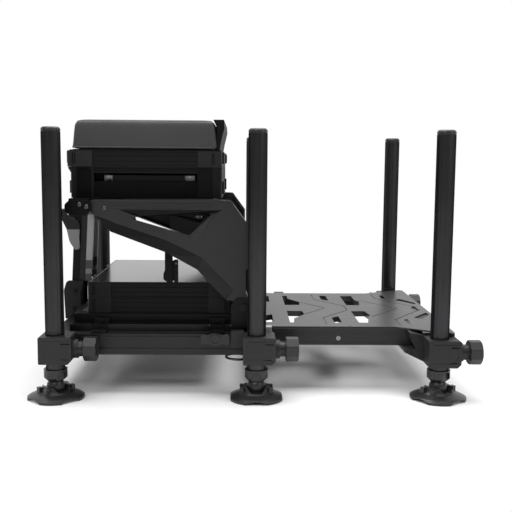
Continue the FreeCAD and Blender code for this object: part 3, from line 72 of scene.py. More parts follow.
def object_coordinates(tree, stretch=(1, 1, 1)):
    """Row-frame coordinates in metres, stretched along an axis for brushed looks."""
    source = tree.nodes.new("ShaderNodeTexCoord")
    scale = tree.nodes.new("ShaderNodeMapping")
    scale.inputs["Scale"].default_value = stretch
    tree.links.new(source.outputs["Object"], scale.inputs["Vector"])
    return scale.outputs["Vector"]


def noise(tree, scale, detail=3.0, stretch=(1, 1, 1)):
    """Fractal noise over the row-frame coordinates."""
    texture = tree.nodes.new("ShaderNodeTexNoise")
    texture.inputs["Scale"].default_value = scale
    texture.inputs["Detail"].default_value = detail
    tree.links.new(object_coordinates(tree, stretch), texture.inputs["Vector"])
    return texture.outputs["Fac"]


def remap(tree, value, low, high):
    """Noise, which lies mostly between 0.3 and 0.7, spread from low to high."""
    node = tree.nodes.new("ShaderNodeMapRange")
    node.inputs["From Min"].default_value = 0.3
    node.inputs["From Max"].default_value = 0.7
    node.inputs["To Min"].default_value = low
    node.inputs["To Max"].default_value = high
    tree.links.new(value, node.inputs["Value"])
    return node.outputs["Result"]


def multiplied(tree, first, second):
    """The product of two values."""
    node = tree.nodes.new("ShaderNodeMath")
    node.operation = "MULTIPLY"
    tree.links.new(first, node.inputs[0])
    tree.links.new(second, node.inputs[1])
    return node.outputs[0]


def blend_colors(tree, factor, color_a, color_b):
    """A mix of two colors, each a tuple or a socket."""
    node = tree.nodes.new("ShaderNodeMix")
    node.data_type = "RGBA"
    tree.links.new(factor, node.inputs["Factor"])
    for socket, color in (("A", color_a), ("B", color_b)):
        target = [s for s in node.inputs if s.name == socket and s.type == "RGBA"][0]
        if isinstance(color, tuple):
            target.default_value = (*color, 1)
        else:
            tree.links.new(color, target)
    return [s for s in node.outputs if s.type == "RGBA"][0]


def soft_edge_normal(tree, radius):
    """The surface normal as if every edge were rounded to radius."""
    soft_edge = tree.nodes.new("ShaderNodeBevel")
    soft_edge.samples = BEVEL_SAMPLES
    soft_edge.inputs["Radius"].default_value = radius
    return soft_edge.outputs["Normal"]


def add_bump(tree, shader, height, strength, distance):
    """Fine relief over edges that are rounded in the shading."""
    bump = tree.nodes.new("ShaderNodeBump")
    tree.links.new(soft_edge_normal(tree, EDGE_ROUNDING), bump.inputs["Normal"])
    bump.inputs["Strength"].default_value = strength
    bump.inputs["Distance"].default_value = distance
    tree.links.new(height, bump.inputs["Height"])
    tree.links.new(bump.outputs["Normal"], shader.inputs["Normal"])


def edge_mask(tree, share):
    """0 on plain faces, rising to share on sharp edges, where a rounded normal turns away: the mask
    of the painted edge highlight.
    """
    plain_cosine, sharp_cosine = 0.97, 0.8
    plain = tree.nodes.new("ShaderNodeNewGeometry")
    dot = tree.nodes.new("ShaderNodeVectorMath")
    dot.operation = "DOT_PRODUCT"
    tree.links.new(soft_edge_normal(tree, EDGE_HIGHLIGHT_RADIUS), dot.inputs[0])
    tree.links.new(plain.outputs["True Normal"], dot.inputs[1])
    level = tree.nodes.new("ShaderNodeMapRange")
    level.inputs["From Min"].default_value = plain_cosine
    level.inputs["From Max"].default_value = sharp_cosine
    level.inputs["To Max"].default_value = share
    tree.links.new(dot.outputs["Value"], level.inputs["Value"])
    return level.outputs["Result"]


def painted_shade_below(tree, color, share):
    """The color with painted shade: down to a share of it on faces that look down, and how far each
    looks down.
    """
    level_face, downward_face = -0.1, -0.35
    source = tree.nodes.new("ShaderNodeTexCoord")
    split = tree.nodes.new("ShaderNodeSeparateXYZ")
    tree.links.new(source.outputs["Normal"], split.inputs["Vector"])
    down = tree.nodes.new("ShaderNodeMapRange")
    down.inputs["From Min"].default_value = level_face
    down.inputs["From Max"].default_value = downward_face
    tree.links.new(split.outputs["Z"], down.inputs["Value"])
    black = tree.nodes.new("ShaderNodeMix")
    black.data_type = "RGBA"
    black.blend_type = "MULTIPLY"
    first, second = [s for s in black.inputs if s.type == "RGBA"]
    tree.links.new(down.outputs["Result"], black.inputs["Factor"])
    tree.links.new(color, first)
    second.default_value = (share, share, share, 1)
    return [s for s in black.outputs if s.type == "RGBA"][0], down.outputs["Result"]


def grained(name, color, roughness, metallic=0.0, specular=0.5, grain=900.0, depth=0.00008,
            stretch=(1, 1, 1), below=1.0, rim=1.0, edge=0.0):
    """A surface with slow tone clouds, uneven roughness and a fine grain.

    below is the share of tone and shine left on faces that look down, a painted shade, rim the tint
    of its grazing shine, and edge how far sharp edges are lightened, a painted highlight.
    """
    cloud_scale = 6.0
    material, tree, shader = new_material(name)
    lighter = tuple(min(1.0, c * 1.18) for c in color)
    darker = tuple(c * 0.86 for c in color)
    clouds = remap(tree, noise(tree, cloud_scale), 0.0, 1.0)
    tone = blend_colors(tree, clouds, darker, lighter)
    # Painted shade: faces that look down lose tone and shine
    if below < 1.0:
        tone, down = painted_shade_below(tree, tone, below)
        level = tree.nodes.new("ShaderNodeMapRange")
        level.inputs["To Min"].default_value = specular
        level.inputs["To Max"].default_value = specular * below
        tree.links.new(down, level.inputs["Value"])
        tree.links.new(level.outputs["Result"], shader.inputs["Specular IOR Level"])
    else:
        shader.inputs["Specular IOR Level"].default_value = specular
    if edge > 0.0:
        # Sharp edges are lightened towards this tone: a painted highlight
        edge_highlight_tone = tuple(4.0 * c + 0.03 for c in color)
        tone = blend_colors(tree, edge_mask(tree, edge), tone, edge_highlight_tone)
    tree.links.new(tone, shader.inputs["Base Color"])
    shader.inputs["Specular Tint"].default_value = (rim, rim, rim, 1)
    fine = noise(tree, grain, 2.0, stretch)
    tree.links.new(remap(tree, fine, roughness * 0.88, min(1.0, roughness * 1.12)),
                   shader.inputs["Roughness"])
    shader.inputs["Metallic"].default_value = metallic
    add_bump(tree, shader, fine, 0.35, depth)
    return material


def zone(tree, axis, low, high):
    """1 where the coordinate lies between low and high, else 0.

    axis is the name of an axis, or else a lean: metres in X for each metre of height, taken off X.
    """
    split = tree.nodes.new("ShaderNodeSeparateXYZ")
    tree.links.new(object_coordinates(tree), split.inputs["Vector"])
    if isinstance(axis, float):
        leaning = tree.nodes.new("ShaderNodeMath")
        leaning.operation = "MULTIPLY_ADD"
        tree.links.new(split.outputs["Z"], leaning.inputs[0])
        leaning.inputs[1].default_value = -axis
        tree.links.new(split.outputs["X"], leaning.inputs[2])
        coordinate = leaning.outputs[0]
    else:
        coordinate = split.outputs[axis]
    above = tree.nodes.new("ShaderNodeMath")
    above.operation = "GREATER_THAN"
    tree.links.new(coordinate, above.inputs[0])
    above.inputs[1].default_value = low
    below = tree.nodes.new("ShaderNodeMath")
    below.operation = "LESS_THAN"
    tree.links.new(coordinate, below.inputs[0])
    below.inputs[1].default_value = high
    return multiplied(tree, above.outputs[0], below.outputs[0])


def banded(name, base, bands, roughness, specular=0.2, metallic=0.0):
    """One tone overall, and another wherever all of a band's coordinate ranges hold."""
    cloud_scale, grain, depth = 9.0, 1100.0, 0.00006
    material, tree, shader = new_material(name)
    clouds = remap(tree, noise(tree, cloud_scale), 0.0, 1.0)
    tone = blend_colors(tree, clouds, tuple(c * 0.85 for c in base), base)
    for ranges, color in bands:
        inside = None
        for axis, low, high in ranges:
            part = zone(tree, axis, low, high)
            inside = part if inside is None else multiplied(tree, inside, part)
        tone = blend_colors(tree, inside, tone, color)
    tree.links.new(tone, shader.inputs["Base Color"])
    fine = noise(tree, grain, 2.0)
    tree.links.new(remap(tree, fine, roughness * 0.9, roughness * 1.1), shader.inputs["Roughness"])
    shader.inputs["Specular IOR Level"].default_value = specular
    shader.inputs["Metallic"].default_value = metallic
    add_bump(tree, shader, fine, 0.3, depth)
    return material


def coated_fabric(name, color):
    """Coated cloth: small pebbled grain over slow soft creases."""
    pebble_scale, crease_scale, cloud_scale = 620.0, 28.0, 7.0
    crease_weight, depth = 2.2, 0.00035
    material, tree, shader = new_material(name)
    cells = tree.nodes.new("ShaderNodeTexVoronoi")
    cells.feature = "SMOOTH_F1"
    cells.inputs["Scale"].default_value = pebble_scale
    tree.links.new(object_coordinates(tree), cells.inputs["Vector"])
    creases = noise(tree, crease_scale, 4.0)
    both = tree.nodes.new("ShaderNodeMath")
    both.operation = "MULTIPLY_ADD"
    tree.links.new(creases, both.inputs[0])
    both.inputs[1].default_value = crease_weight
    tree.links.new(cells.outputs["Distance"], both.inputs[2])
    clouds = remap(tree, noise(tree, cloud_scale), 0.0, 1.0)
    tree.links.new(blend_colors(tree, clouds, tuple(c * 0.9 for c in color), color),
                   shader.inputs["Base Color"])
    tree.links.new(remap(tree, creases, 0.5, 0.62), shader.inputs["Roughness"])
    shader.inputs["Specular IOR Level"].default_value = 0.4
    shader.inputs["Sheen Weight"].default_value = 0.08
    add_bump(tree, shader, both.outputs[0], 0.35, depth)
    return material


# Shape helpers
def linked(name, data):
    """A new object with this data, in the scene."""
    thing = bpy.data.objects.new(name, data)
    bpy.context.scene.collection.objects.link(thing)
    return thing


def smooth_faces(thing):
    for face in thing.data.polygons:
        face.use_smooth = True


def apply_modifiers(thing):
    """Keep the mesh that the modifiers make, and drop them."""
    bpy.context.view_layer.update()
    graph = bpy.context.evaluated_depsgraph_get()
    mesh = bpy.data.meshes.new_from_object(thing.evaluated_get(graph))
    thing.modifiers.clear()
    old = thing.data
    thing.data = mesh
    bpy.data.meshes.remove(old)


def rounded_ring(x0, x1, half, radius, z, steps=10):
    """Points of a rounded rectangle in X and Y at one height."""
    points = []
    corners = ((x1 - radius, half - radius, 0), (x0 + radius, half - radius, 90),
               (x0 + radius, -half + radius, 180), (x1 - radius, -half + radius, 270))
    for cx, cy, start in corners:
        for i in range(steps + 1):
            angle = math.radians(start + 90 * i / steps)
            points.append(Vector((cx + radius * math.cos(angle), cy + radius * math.sin(angle), z)))
    return points


def mesh_from_rings(name, rings):
    """A closed body through rings of points, from the lowest to the highest."""
    mesh = bpy.data.meshes.new(name)
    form = bmesh.new()
    rows = [[form.verts.new(p) for p in ring] for ring in rings]
    for lower, upper in zip(rows, rows[1:]):
        count = len(lower)
        for i in range(count):
            j = (i + 1) % count
            form.faces.new((lower[i], lower[j], upper[j], upper[i]))
    form.faces.new(list(reversed(rows[0])))
    form.faces.new(rows[-1])
    form.to_mesh(mesh)
    form.free()
    return linked(name, mesh)


def tube_along(name, points, radius, closed=True):
    """A round cord through points, as a mesh."""
    curve = bpy.data.curves.new(name, "CURVE")
    curve.dimensions = "3D"
    curve.bevel_depth = radius
    curve.bevel_resolution = 3
    line = curve.splines.new("POLY")
    line.points.add(len(points) - 1)
    for target, point in zip(line.points, points):
        target.co = (*point, 1)
    line.use_cyclic_u = closed
    path = linked(name + "_path", curve)
    bpy.context.view_layer.update()
    graph = bpy.context.evaluated_depsgraph_get()
    mesh = bpy.data.meshes.new_from_object(path.evaluated_get(graph))
    tube = linked(name, mesh)
    bpy.data.objects.remove(path)
    bpy.data.curves.remove(curve)
    smooth_faces(tube)
    return tube


def on_surface(surface, points, lift):
    """Points moved to the nearest place on a mesh, raised by lift."""
    tree = BVHTree.FromPolygons([v.co for v in surface.data.vertices],
                                [p.vertices for p in surface.data.polygons])
    placed = []
    for point in points:
        spot, normal, _, _ = tree.find_nearest(point)
        placed.append(spot + normal * lift)
    return placed


def bevelled_box(name, low, high, bevel):
    """A box between two corners, with rounded edges."""
    form = bmesh.new()
    bmesh.ops.create_cube(form, size=1.0)
    size = Vector(high) - Vector(low)
    centre = (Vector(high) + Vector(low)) / 2
    for vert in form.verts:
        vert.co = Vector((vert.co.x * size.x, vert.co.y * size.y, vert.co.z * size.z)) + centre
    bmesh.ops.bevel(form, geom=list(form.edges), offset=bevel, segments=3, affect="EDGES")
    mesh = bpy.data.meshes.new(name)
    form.to_mesh(mesh)
    form.free()
    thing = linked(name, mesh)
    smooth_faces(thing)
    return thing


# Seat cushion
cushion_low, cushion_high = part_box("seat_cushion")

# Height share, then how far the rear, front and sides draw in, and the corner radius, in mm;
# below zero the soft front presses forward towards the lip
CUSHION_LEVELS = (
    (0.00, 1.0, -6.0, 1.4, 7), (0.05, 0.4, -6.6, 0.4, 7), (0.12, 0.8, -6.2, 0.2, 7),
    (0.50, 3.2, -4.0, 0.8, 7), (0.80, 5.2, -1.6, 1.8, 7), (0.90, 6.8, -0.2, 2.8, 8),
    (0.96, 9.6, 1.6, 5.0, 9), (0.99, 14.0, 5.0, 9.0, 12), (1.00, 20.0, 11.0, 15.0, 18),
)
CROWN_ROOM = 0.002  # left above the rings for the inflated crown
VOXEL = 0.005


def build_cushion():
    """Foam cushion: voxel mesh, inflated a little against its stitched lower edge."""
    height = (cushion_high.z - cushion_low.z) - CROWN_ROOM
    half = cushion_high.y
    rings = []
    for share, rear, front, side, radius in CUSHION_LEVELS:
        rings.append(rounded_ring(cushion_low.x + rear / 1000, cushion_high.x - front / 1000,
                                  half - side / 1000, radius / 1000,
                                  cushion_low.z + share * height))
    cushion = mesh_from_rings("cushion_soft", rings)
    remesh = cushion.modifiers.new("remesh", "REMESH")
    remesh.mode = "VOXEL"
    remesh.voxel_size = VOXEL
    apply_modifiers(cushion)
    inflate(cushion)
    smooth = cushion.modifiers.new("smooth", "SMOOTH")
    smooth.iterations = 3
    fine = cushion.modifiers.new("fine", "SUBSURF")
    fine.levels = 1
    fine.render_levels = 1
    apply_modifiers(cushion)
    smooth_faces(cushion)
    return cushion


def inflate(cushion, cap=0.0035):
    """A short pressure simulation; no point moves further than cap."""
    last_frame, stitched_share, held_softly = 20, 0.06, 0.25
    rest = np.array([v.co for v in cushion.data.vertices])
    group = cushion.vertex_groups.new(name="held")
    span = cushion_high.z - cushion_low.z
    for i, point in enumerate(rest):
        share = (point[2] - cushion_low.z) / span
        group.add([i], 1.0 if share < stitched_share else held_softly, "REPLACE")
    cloth = cushion.modifiers.new("cloth", "CLOTH")
    settings = cloth.settings
    settings.quality = 6
    settings.mass = 0.3
    settings.tension_stiffness = 20
    settings.compression_stiffness = 20
    settings.bending_stiffness = 4
    settings.use_pressure = True
    settings.uniform_pressure_force = 4.0
    settings.vertex_group_mass = "held"
    settings.effector_weights.gravity = 0
    cloth.point_cache.frame_start = 1
    cloth.point_cache.frame_end = last_frame
    scene = bpy.context.scene
    for number in range(1, last_frame + 1):
        scene.frame_set(number)
    apply_modifiers(cushion)
    scene.frame_set(1)
    moved = np.array([v.co for v in cushion.data.vertices])
    step = moved - rest
    length = np.linalg.norm(step, axis=1, keepdims=True)
    step *= np.minimum(1.0, cap / np.maximum(length, 1e-9))
    cushion.data.vertices.foreach_set("co", (rest + step).astype(np.float32).ravel())
    cushion.data.update()


cushion = build_cushion()
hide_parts("seat_cushion")
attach(cushion, "seat_lid")

# Piping round the lower edge, a seam round the top and an upright seam near the front of each side
RING_STEPS = 16
PIPING_RADIUS = 0.0016
PIPING_CORNER = 0.010
PIPING_HEIGHT = 0.0032
PIPING_LIFT = 0.0003
SEAM_LIFT = -0.0001
TOP_SEAM_RADIUS = 0.0008
TOP_SEAM_CORNER = 0.013
TOP_SEAM_REAR = 0.008
TOP_SEAM_FRONT = 0.006
TOP_SEAM_SIDE = 0.007
TOP_SEAM_DROP = 0.004
SIDE_SEAM_RADIUS = 0.0009
SIDE_SEAM_BACK = 0.0135
SIDE_SEAM_OUT = 0.002
SIDE_SEAM_FOOT = 0.004
SIDE_SEAM_LENGTH = 0.047
SIDE_SEAM_STEPS = 14

piping_ring = rounded_ring(cushion_low.x, cushion_high.x, cushion_high.y, PIPING_CORNER,
                           cushion_low.z + PIPING_HEIGHT, RING_STEPS)
piping = tube_along("cushion_piping", on_surface(cushion, piping_ring, PIPING_LIFT), PIPING_RADIUS)
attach(piping, "seat_lid")

top_ring = rounded_ring(cushion_low.x + TOP_SEAM_REAR, cushion_high.x - TOP_SEAM_FRONT,
                        cushion_high.y - TOP_SEAM_SIDE, TOP_SEAM_CORNER,
                        cushion_high.z - TOP_SEAM_DROP, RING_STEPS)
top_seam = tube_along("cushion_top_seam", on_surface(cushion, top_ring, SEAM_LIFT),
                      TOP_SEAM_RADIUS)
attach(top_seam, "seat_lid")

side_seams = []
for side, name in ((-1, "right"), (1, "left")):
    x = cushion_high.x - SIDE_SEAM_BACK
    y = side * (cushion_high.y + SIDE_SEAM_OUT)
    foot = cushion_low.z + SIDE_SEAM_FOOT
    upright = [Vector((x, y, foot + SIDE_SEAM_LENGTH * i / SIDE_SEAM_STEPS))
               for i in range(SIDE_SEAM_STEPS + 1)]
    seam = tube_along("cushion_seam_" + name, on_surface(cushion, upright, SEAM_LIFT),
                      SIDE_SEAM_RADIUS, closed=False)
    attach(seam, "seat_lid")
    side_seams.append(seam)

# Lighter metal blocks on the ends of the drawer's handle bar, painted highlights of its glossy
# ends, placed from the drawer's rear and front
REAR_END = (0.0198, 0.0370)
FRONT_END = (0.0250, 0.0042)
HANDLE_HEIGHT = 0.0105
HANDLE_DEPTH = 0.0093
END_INSET = 0.0002
END_OVERLAP = 0.0003
END_BEVEL = 0.0009

drawer_low, drawer_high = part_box("side_drawer")
handle_top = drawer_high.z
handle_highlights = []
for name, x0, x1 in (
        ("handle_end_rear", drawer_low.x + REAR_END[0], drawer_low.x + REAR_END[1]),
        ("handle_end_front", drawer_high.x - FRONT_END[0], drawer_high.x - FRONT_END[1])):
    end = bevelled_box(name,
                       (x0, drawer_low.y + END_INSET, handle_top - HANDLE_HEIGHT - END_OVERLAP),
                       (x1, drawer_low.y + HANDLE_DEPTH, handle_top + END_OVERLAP), END_BEVEL)
    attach(end, "side_drawer")
    handle_highlights.append(end)

# Where the tone of one piece changes: places in metres in the row frame
BEYOND = 1.0
tray_low, tray_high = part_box("deep_tray")
case_low, case_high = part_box("low_drawer_case")
lever_low, lever_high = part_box("release_lever")
strap_low, strap_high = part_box("column_straps")
rail_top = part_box("base_side_rails")[1].z
front_clamp_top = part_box("front_leg_clamps")[1].z

LOW_CORNER = 0.048
low_panel = ("X", case_low.x + LOW_CORNER, case_high.x - LOW_CORNER)
# The deep tray round the side drawer and just above it is painted darkest: painted shade in the
# drawer's opening
DRAWER_GAP = 0.0006
MOUTH_RISE = 0.0045
drawer_x0 = drawer_low.x - DRAWER_GAP
drawer_x1 = drawer_high.x + DRAWER_GAP
drawer_mouth_shade = [("X", drawer_x0, drawer_x1), ("Z", 0.0, handle_top + MOUTH_RISE)]
shallow_panel = ("X", drawer_x0 - 0.003, drawer_x1 + 0.0008)
rear_panel = ("X", tray_low.x + 0.0235, tray_low.x + 0.0525)
front_panel = ("X", tray_high.x - 0.0515, tray_high.x - 0.0215)
handle_bar = ("Z", handle_top - HANDLE_HEIGHT + 0.0001, BEYOND)
# The lever's lower part below its head is painted light grey: a painted reflection
LEVER_HEAD = 0.0435
lever_reflection_band = ("Z", lever_low.z, lever_high.z - LEVER_HEAD)
COLUMN_REACH = -0.34
column_socket = ("X", -BEYOND, COLUMN_REACH)
# The top of the side rails, under the tray carrier, is painted darker: painted shade
RAIL_LIP = 0.0138
rail_top_shade = ("Z", rail_top - RAIL_LIP, BEYOND)
# The top faces of the front clamps are painted lighter: painted light from above
TOP_FACE = 0.0004
clamp_top_painted_light = ("Z", front_clamp_top - TOP_FACE, BEYOND)
STRAP_DEPTH = 0.026
STRAP_LIGHT = 0.0135
strap_lean = (strap_high.x - strap_low.x - STRAP_DEPTH) / (strap_high.z - strap_low.z)
strap_front = strap_high.x - strap_lean * strap_high.z
strap_back = (strap_lean, -BEYOND, strap_front - STRAP_LIGHT)
strap_foot = ("Z", 0.0, 0.238)
strap_patch = ("Z", 0.208, 0.219)
screws_behind = ("X", -BEYOND, 0.15)
screws_ahead = ("X", 0.18, BEYOND)

# Materials: coated metal, moulded plastic, bright metal, coated cloth
CASTING_TONE = (0.017, 0.017, 0.018)
FRAME_TONE = (0.013, 0.013, 0.014)
LENGTHWISE = (0.05, 1, 1)
UPRIGHT = (1, 1, 0.02)
anodised = grained("anodised_tube", (0.045, 0.045, 0.047), 0.34, metallic=1.0, grain=1400.0,
                   depth=0.00002, stretch=UPRIGHT, rim=0.3)
# Each edge value paints a highlight along sharp edges
casting = grained("coated_casting", CASTING_TONE, 0.5, specular=0.32, grain=850.0,
                  depth=0.00012, edge=0.35)
frame_coat = grained("frame_coat", FRAME_TONE, 0.42, specular=0.32, edge=0.3)
carrier_coat = grained("carrier_coat", (0.004, 0.004, 0.0043), 0.45, specular=0.14,
                       depth=0.00006)
# below=0.3 paints shade on the arm's downward faces
arm_coat = grained("arm_coat", (0.015, 0.015, 0.016), 0.44, specular=0.36, below=0.3, edge=0.15)
column_coat = grained("column_coat", (0.003, 0.003, 0.0032), 0.45, specular=0.15, depth=0.00006)
bar_coat = grained("bar_coat", (0.003, 0.003, 0.0032), 0.42, specular=0.12, depth=0.00006,
                   edge=0.3)
deck_coat = grained("deck_coat", (0.042, 0.042, 0.044), 0.36, metallic=0.3, grain=1000.0,
                    depth=0.00004, stretch=LENGTHWISE, edge=0.45)
moulded = grained("moulded_black", (0.017, 0.017, 0.018), 0.36, specular=0.45, grain=1000.0,
                  edge=0.4)
lip_plastic = grained("lip_plastic", (0.004, 0.004, 0.0043), 0.5, specular=0.12, grain=1000.0)
knob_plastic = grained("knob_plastic", (0.014, 0.014, 0.015), 0.38, specular=0.4, depth=0.0001,
                       edge=0.5)
wing_plastic = grained("wing_plastic", (0.003, 0.003, 0.0032), 0.24, specular=0.4,
                       depth=0.00006, edge=0.12)
lid_gloss = grained("lid_gloss", (0.04, 0.04, 0.042), 0.17, specular=0.95, grain=500.0,
                    depth=0.00001)
bare_metal = grained("bare_metal", (0.36, 0.36, 0.36), 0.4, metallic=0.2, depth=0.00004,
                     stretch=LENGTHWISE)
polished = grained("polished_screw", (0.12, 0.12, 0.123), 0.26, metallic=1.0, grain=700.0,
                   depth=0.00001)
blackened = grained("blackened_screw", (0.005, 0.005, 0.0053), 0.4, specular=0.2, grain=700.0,
                    depth=0.00004)
# Painted highlight: the lighter metal on the ends of the handle bar
handle_highlight_metal = grained("handle_highlight_metal", (0.10, 0.10, 0.104), 0.46, metallic=0.3, specular=0.4,
                       depth=0.00004)
vinyl = coated_fabric("cushion_vinyl", (0.038, 0.038, 0.04))
piping_vinyl = coated_fabric("piping_vinyl", (0.05, 0.05, 0.052))
seam_thread = coated_fabric("seam_thread", (0.055, 0.055, 0.057))

LEVER_REFLECTION_GREY = (0.19, 0.19, 0.195)
BLOCK_TONE = (0.019, 0.019, 0.02)
PANEL_TONE = (0.006, 0.006, 0.0063)
DIM_TONE = (0.004, 0.004, 0.0042)
DARK_TONE = (0.0025, 0.0025, 0.0028)
DARK_METAL = (0.03, 0.03, 0.032)
# Painted reflection: light grey on the lower part of the lever
lever_tones = banded("lever_tones", (0.008, 0.008, 0.0085), [([lever_reflection_band], LEVER_REFLECTION_GREY)], 0.5,
                     specular=0.3)
low_tray_tones = banded("low_tray_tones", (0.012, 0.012, 0.0125), [([low_panel], PANEL_TONE)],
                        0.5, specular=0.12)
bracket_tones = banded("bracket_tones", (0.005, 0.005, 0.0053),
                       [([column_socket], (0.013, 0.013, 0.0135))], 0.48, specular=0.18)
shallow_tones = banded("shallow_tray_tones", BLOCK_TONE, [([shallow_panel], PANEL_TONE)], 0.5,
                       specular=0.16)
# Painted shade round the side drawer's opening
deep_tones = banded("deep_tray_tones", (0.010, 0.010, 0.0105),
                    [([rear_panel], DARK_TONE), ([front_panel], DIM_TONE),
                     (drawer_mouth_shade, DARK_TONE)], 0.5, specular=0.1)
drawer_tones = banded("drawer_tones", DARK_TONE, [([handle_bar], PANEL_TONE)], 0.5,
                      specular=0.08)
strap_tones = banded("strap_tones", (0.34, 0.34, 0.335),
                     [([strap_foot], (0.06, 0.06, 0.061)), ([strap_patch], (0.2, 0.2, 0.2)),
                      ([strap_back], DARK_TONE)], 0.42, specular=0.4)
# Painted shade along the top of the side rails
rail_tones = banded("rail_tones", FRAME_TONE, [([rail_top_shade], DIM_TONE)], 0.42, specular=0.3)
# Painted light on the top faces of the front clamps
front_casting = banded("front_casting", CASTING_TONE,
                       [([clamp_top_painted_light], (0.13, 0.13, 0.132))], 0.5, specular=0.32)
deck_screws = banded("footplate_screws", (0.2, 0.2, 0.205),
                     [([screws_behind], DARK_METAL), ([screws_ahead], DARK_METAL)], 0.25,
                     specular=0.5, metallic=1.0)

material_of_slot = {
    "leg_tube": anodised,
    "leg_plastic": moulded,
    "foot_plastic": moulded,
    "knob_plastic": knob_plastic,
    "clamp_casting": casting,
    "frame_metal": frame_coat,
    "bright_metal": bare_metal,
    "strap_metal": strap_tones,
    "deck_metal": deck_coat,
    "screw_metal": polished,
    "dark_screw_metal": blackened,
    "lever_plastic": lever_tones,
    "tray_plastic": shallow_tones,
    "lid_plastic": lid_gloss,
    "arm_metal": arm_coat,
    "clip_plastic": moulded,
    "cushion_vinyl": vinyl,
}
slot_of_node = {s["node"]: s["material_slot"] for s in frame["record"]["subparts"]}
special = {
    "low_tray": low_tray_tones,
    "low_drawer_case": low_tray_tones,
    "low_drawer": moulded,
    "side_drawer": drawer_tones,
    "deep_tray": deep_tones,
    "seat_board": lip_plastic,
    "seat_front_lip": lip_plastic,
    "rear_column": column_coat,
    "seat_cross_bars": bar_coat,
    "arm_stops": bar_coat,
    "tray_carrier": carrier_coat,
    "base_cross_rails": carrier_coat,
    "base_side_rails": rail_tones,
    "base_brackets": bracket_tones,
    "lock_knob_right": wing_plastic,
    "lock_knob_left": wing_plastic,
    "front_leg_clamps": front_casting,
    "footplate_screws": deck_screws,
}


def set_material(thing, material):
    thing.data.materials.clear()
    thing.data.materials.append(material)


for name, node in nodes.items():
    set_material(node, special.get(name, material_of_slot[slot_of_node[name]]))
set_material(cushion, vinyl)
set_material(piping, piping_vinyl)
set_material(top_seam, vinyl)
for seam in side_seams:
    set_material(seam, seam_thread)
for end in handle_highlights:
    set_material(end, handle_highlight_metal)


# Stage: pale floor, white backdrop, soft light
def build_floor():
    """Pale floor that takes the soft shadow near the seat and turns plain white further out."""
    mesh = bpy.data.meshes.new("floor")
    reach = 8.0
    corners = [(-reach, -reach, 0), (reach, -reach, 0), (reach, reach, 0), (-reach, reach, 0)]
    mesh.from_pydata(corners, [], [(0, 1, 2, 3)])
    floor = linked("floor", mesh)
    material, tree, shader = new_material("floor_pale")
    shader.inputs["Base Color"].default_value = (0.84, 0.84, 0.84, 1)
    shader.inputs["Roughness"].default_value = 0.9
    shader.inputs["Specular IOR Level"].default_value = 0.05
    near_x, near_y = 0.62, 0.46
    fade_start, fade_end = 0.75, 1.5
    distance = tree.nodes.new("ShaderNodeVectorMath")
    distance.operation = "LENGTH"
    tree.links.new(object_coordinates(tree, (1 / near_x, 1 / near_y, 1)), distance.inputs[0])
    fade = tree.nodes.new("ShaderNodeMapRange")
    fade.interpolation_type = "SMOOTHSTEP"
    fade.inputs["From Min"].default_value = fade_start
    fade.inputs["From Max"].default_value = fade_end
    tree.links.new(distance.outputs["Value"], fade.inputs["Value"])
    path = tree.nodes.new("ShaderNodeLightPath")
    seen = multiplied(tree, fade.outputs["Result"], path.outputs["Is Camera Ray"])
    white = tree.nodes.new("ShaderNodeEmission")
    mix = tree.nodes.new("ShaderNodeMixShader")
    out = [n for n in tree.nodes if n.type == "OUTPUT_MATERIAL"][0]
    tree.links.new(seen, mix.inputs["Fac"])
    tree.links.new(shader.outputs["BSDF"], mix.inputs[1])
    tree.links.new(white.outputs["Emission"], mix.inputs[2])
    tree.links.new(mix.outputs["Shader"], out.inputs["Surface"])
    set_material(floor, material)
    return floor


build_floor()


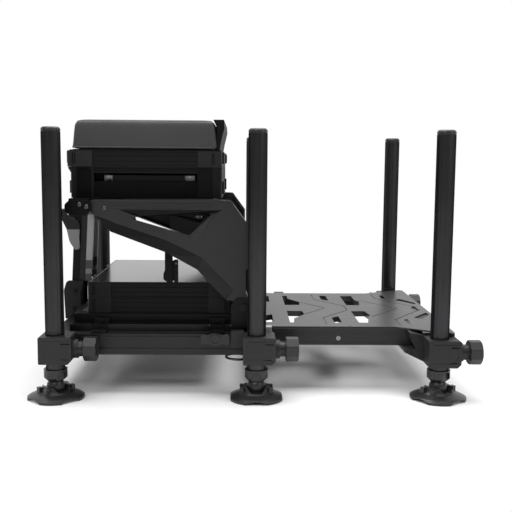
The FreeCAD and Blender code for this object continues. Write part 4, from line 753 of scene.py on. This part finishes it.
def build_world():
    """White to the camera; to all other rays bright behind the seat and dim in front of it."""
    dim, bright = 0.22, 0.95
    dim_until, bright_from = -0.4, 0.6
    world = bpy.data.worlds.new("studio")
    bpy.context.scene.world = world
    world.use_nodes = True
    tree = world.node_tree
    tree.nodes.clear()
    out = tree.nodes.new("ShaderNodeOutputWorld")
    path = tree.nodes.new("ShaderNodeLightPath")
    direction = tree.nodes.new("ShaderNodeTexCoord")
    split = tree.nodes.new("ShaderNodeSeparateXYZ")
    tree.links.new(direction.outputs["Generated"], split.inputs["Vector"])
    level = tree.nodes.new("ShaderNodeMapRange")
    level.interpolation_type = "SMOOTHSTEP"
    level.inputs["From Min"].default_value = dim_until
    level.inputs["From Max"].default_value = bright_from
    level.inputs["To Min"].default_value = dim
    level.inputs["To Max"].default_value = bright
    tree.links.new(split.outputs["Y"], level.inputs["Value"])
    room = tree.nodes.new("ShaderNodeBackground")
    tree.links.new(level.outputs["Result"], room.inputs["Strength"])
    white = tree.nodes.new("ShaderNodeBackground")
    choose = tree.nodes.new("ShaderNodeMixShader")
    for background in (room, white):
        background.inputs["Color"].default_value = (1, 1, 1, 1)
    tree.links.new(path.outputs["Is Camera Ray"], choose.inputs["Fac"])
    tree.links.new(room.outputs["Background"], choose.inputs[1])
    tree.links.new(white.outputs["Background"], choose.inputs[2])
    tree.links.new(choose.outputs["Shader"], out.inputs["Surface"])


def area_light(name, place, target, size, power):
    """A rectangular light at place, aimed at target; power in watts."""
    data = bpy.data.lights.new(name, "AREA")
    data.shape = "RECTANGLE"
    data.size, data.size_y = size
    data.energy = power
    light = linked(name, data)
    light.location = place
    aim = Vector(target) - Vector(place)
    light.rotation_euler = aim.to_track_quat("-Z", "Y").to_euler()


build_world()
area_light("key", (-1.0, -1.9, 2.3), (0, 0, 0.25), (1.6, 1.2), 30)
area_light("fill", (1.8, -1.4, 1.4), (0, 0, 0.25), (1.4, 1.4), 12)
area_light("top", (0.0, 0.2, 2.4), (0, 0, 0.0), (2.4, 1.8), 70)


def build_camera():
    """The photo's view, from the perspective fit: angles in radians, place in metres."""
    pitch, roll, yaw = 0.1176, 0.0077, 0.02
    place = (-0.0322, -1.7638, 0.4533)
    forward = Vector((math.sin(yaw) * math.cos(pitch), math.cos(yaw) * math.cos(pitch),
                      -math.sin(pitch)))
    level = Vector((math.cos(yaw), -math.sin(yaw), 0))
    above = level.cross(forward)
    right = level * math.cos(roll) + above * math.sin(roll)
    up = above * math.cos(roll) - level * math.sin(roll)
    turn = Matrix((right, up, -forward)).transposed()
    data = bpy.data.cameras.new("view")
    data.sensor_width = 36.0
    data.lens = 55.84
    camera = linked("view", data)
    camera.matrix_world = Matrix.Translation(place) @ turn.to_4x4()
    bpy.context.scene.camera = camera


build_camera()
bpy.context.scene.view_settings.view_transform = "Standard"
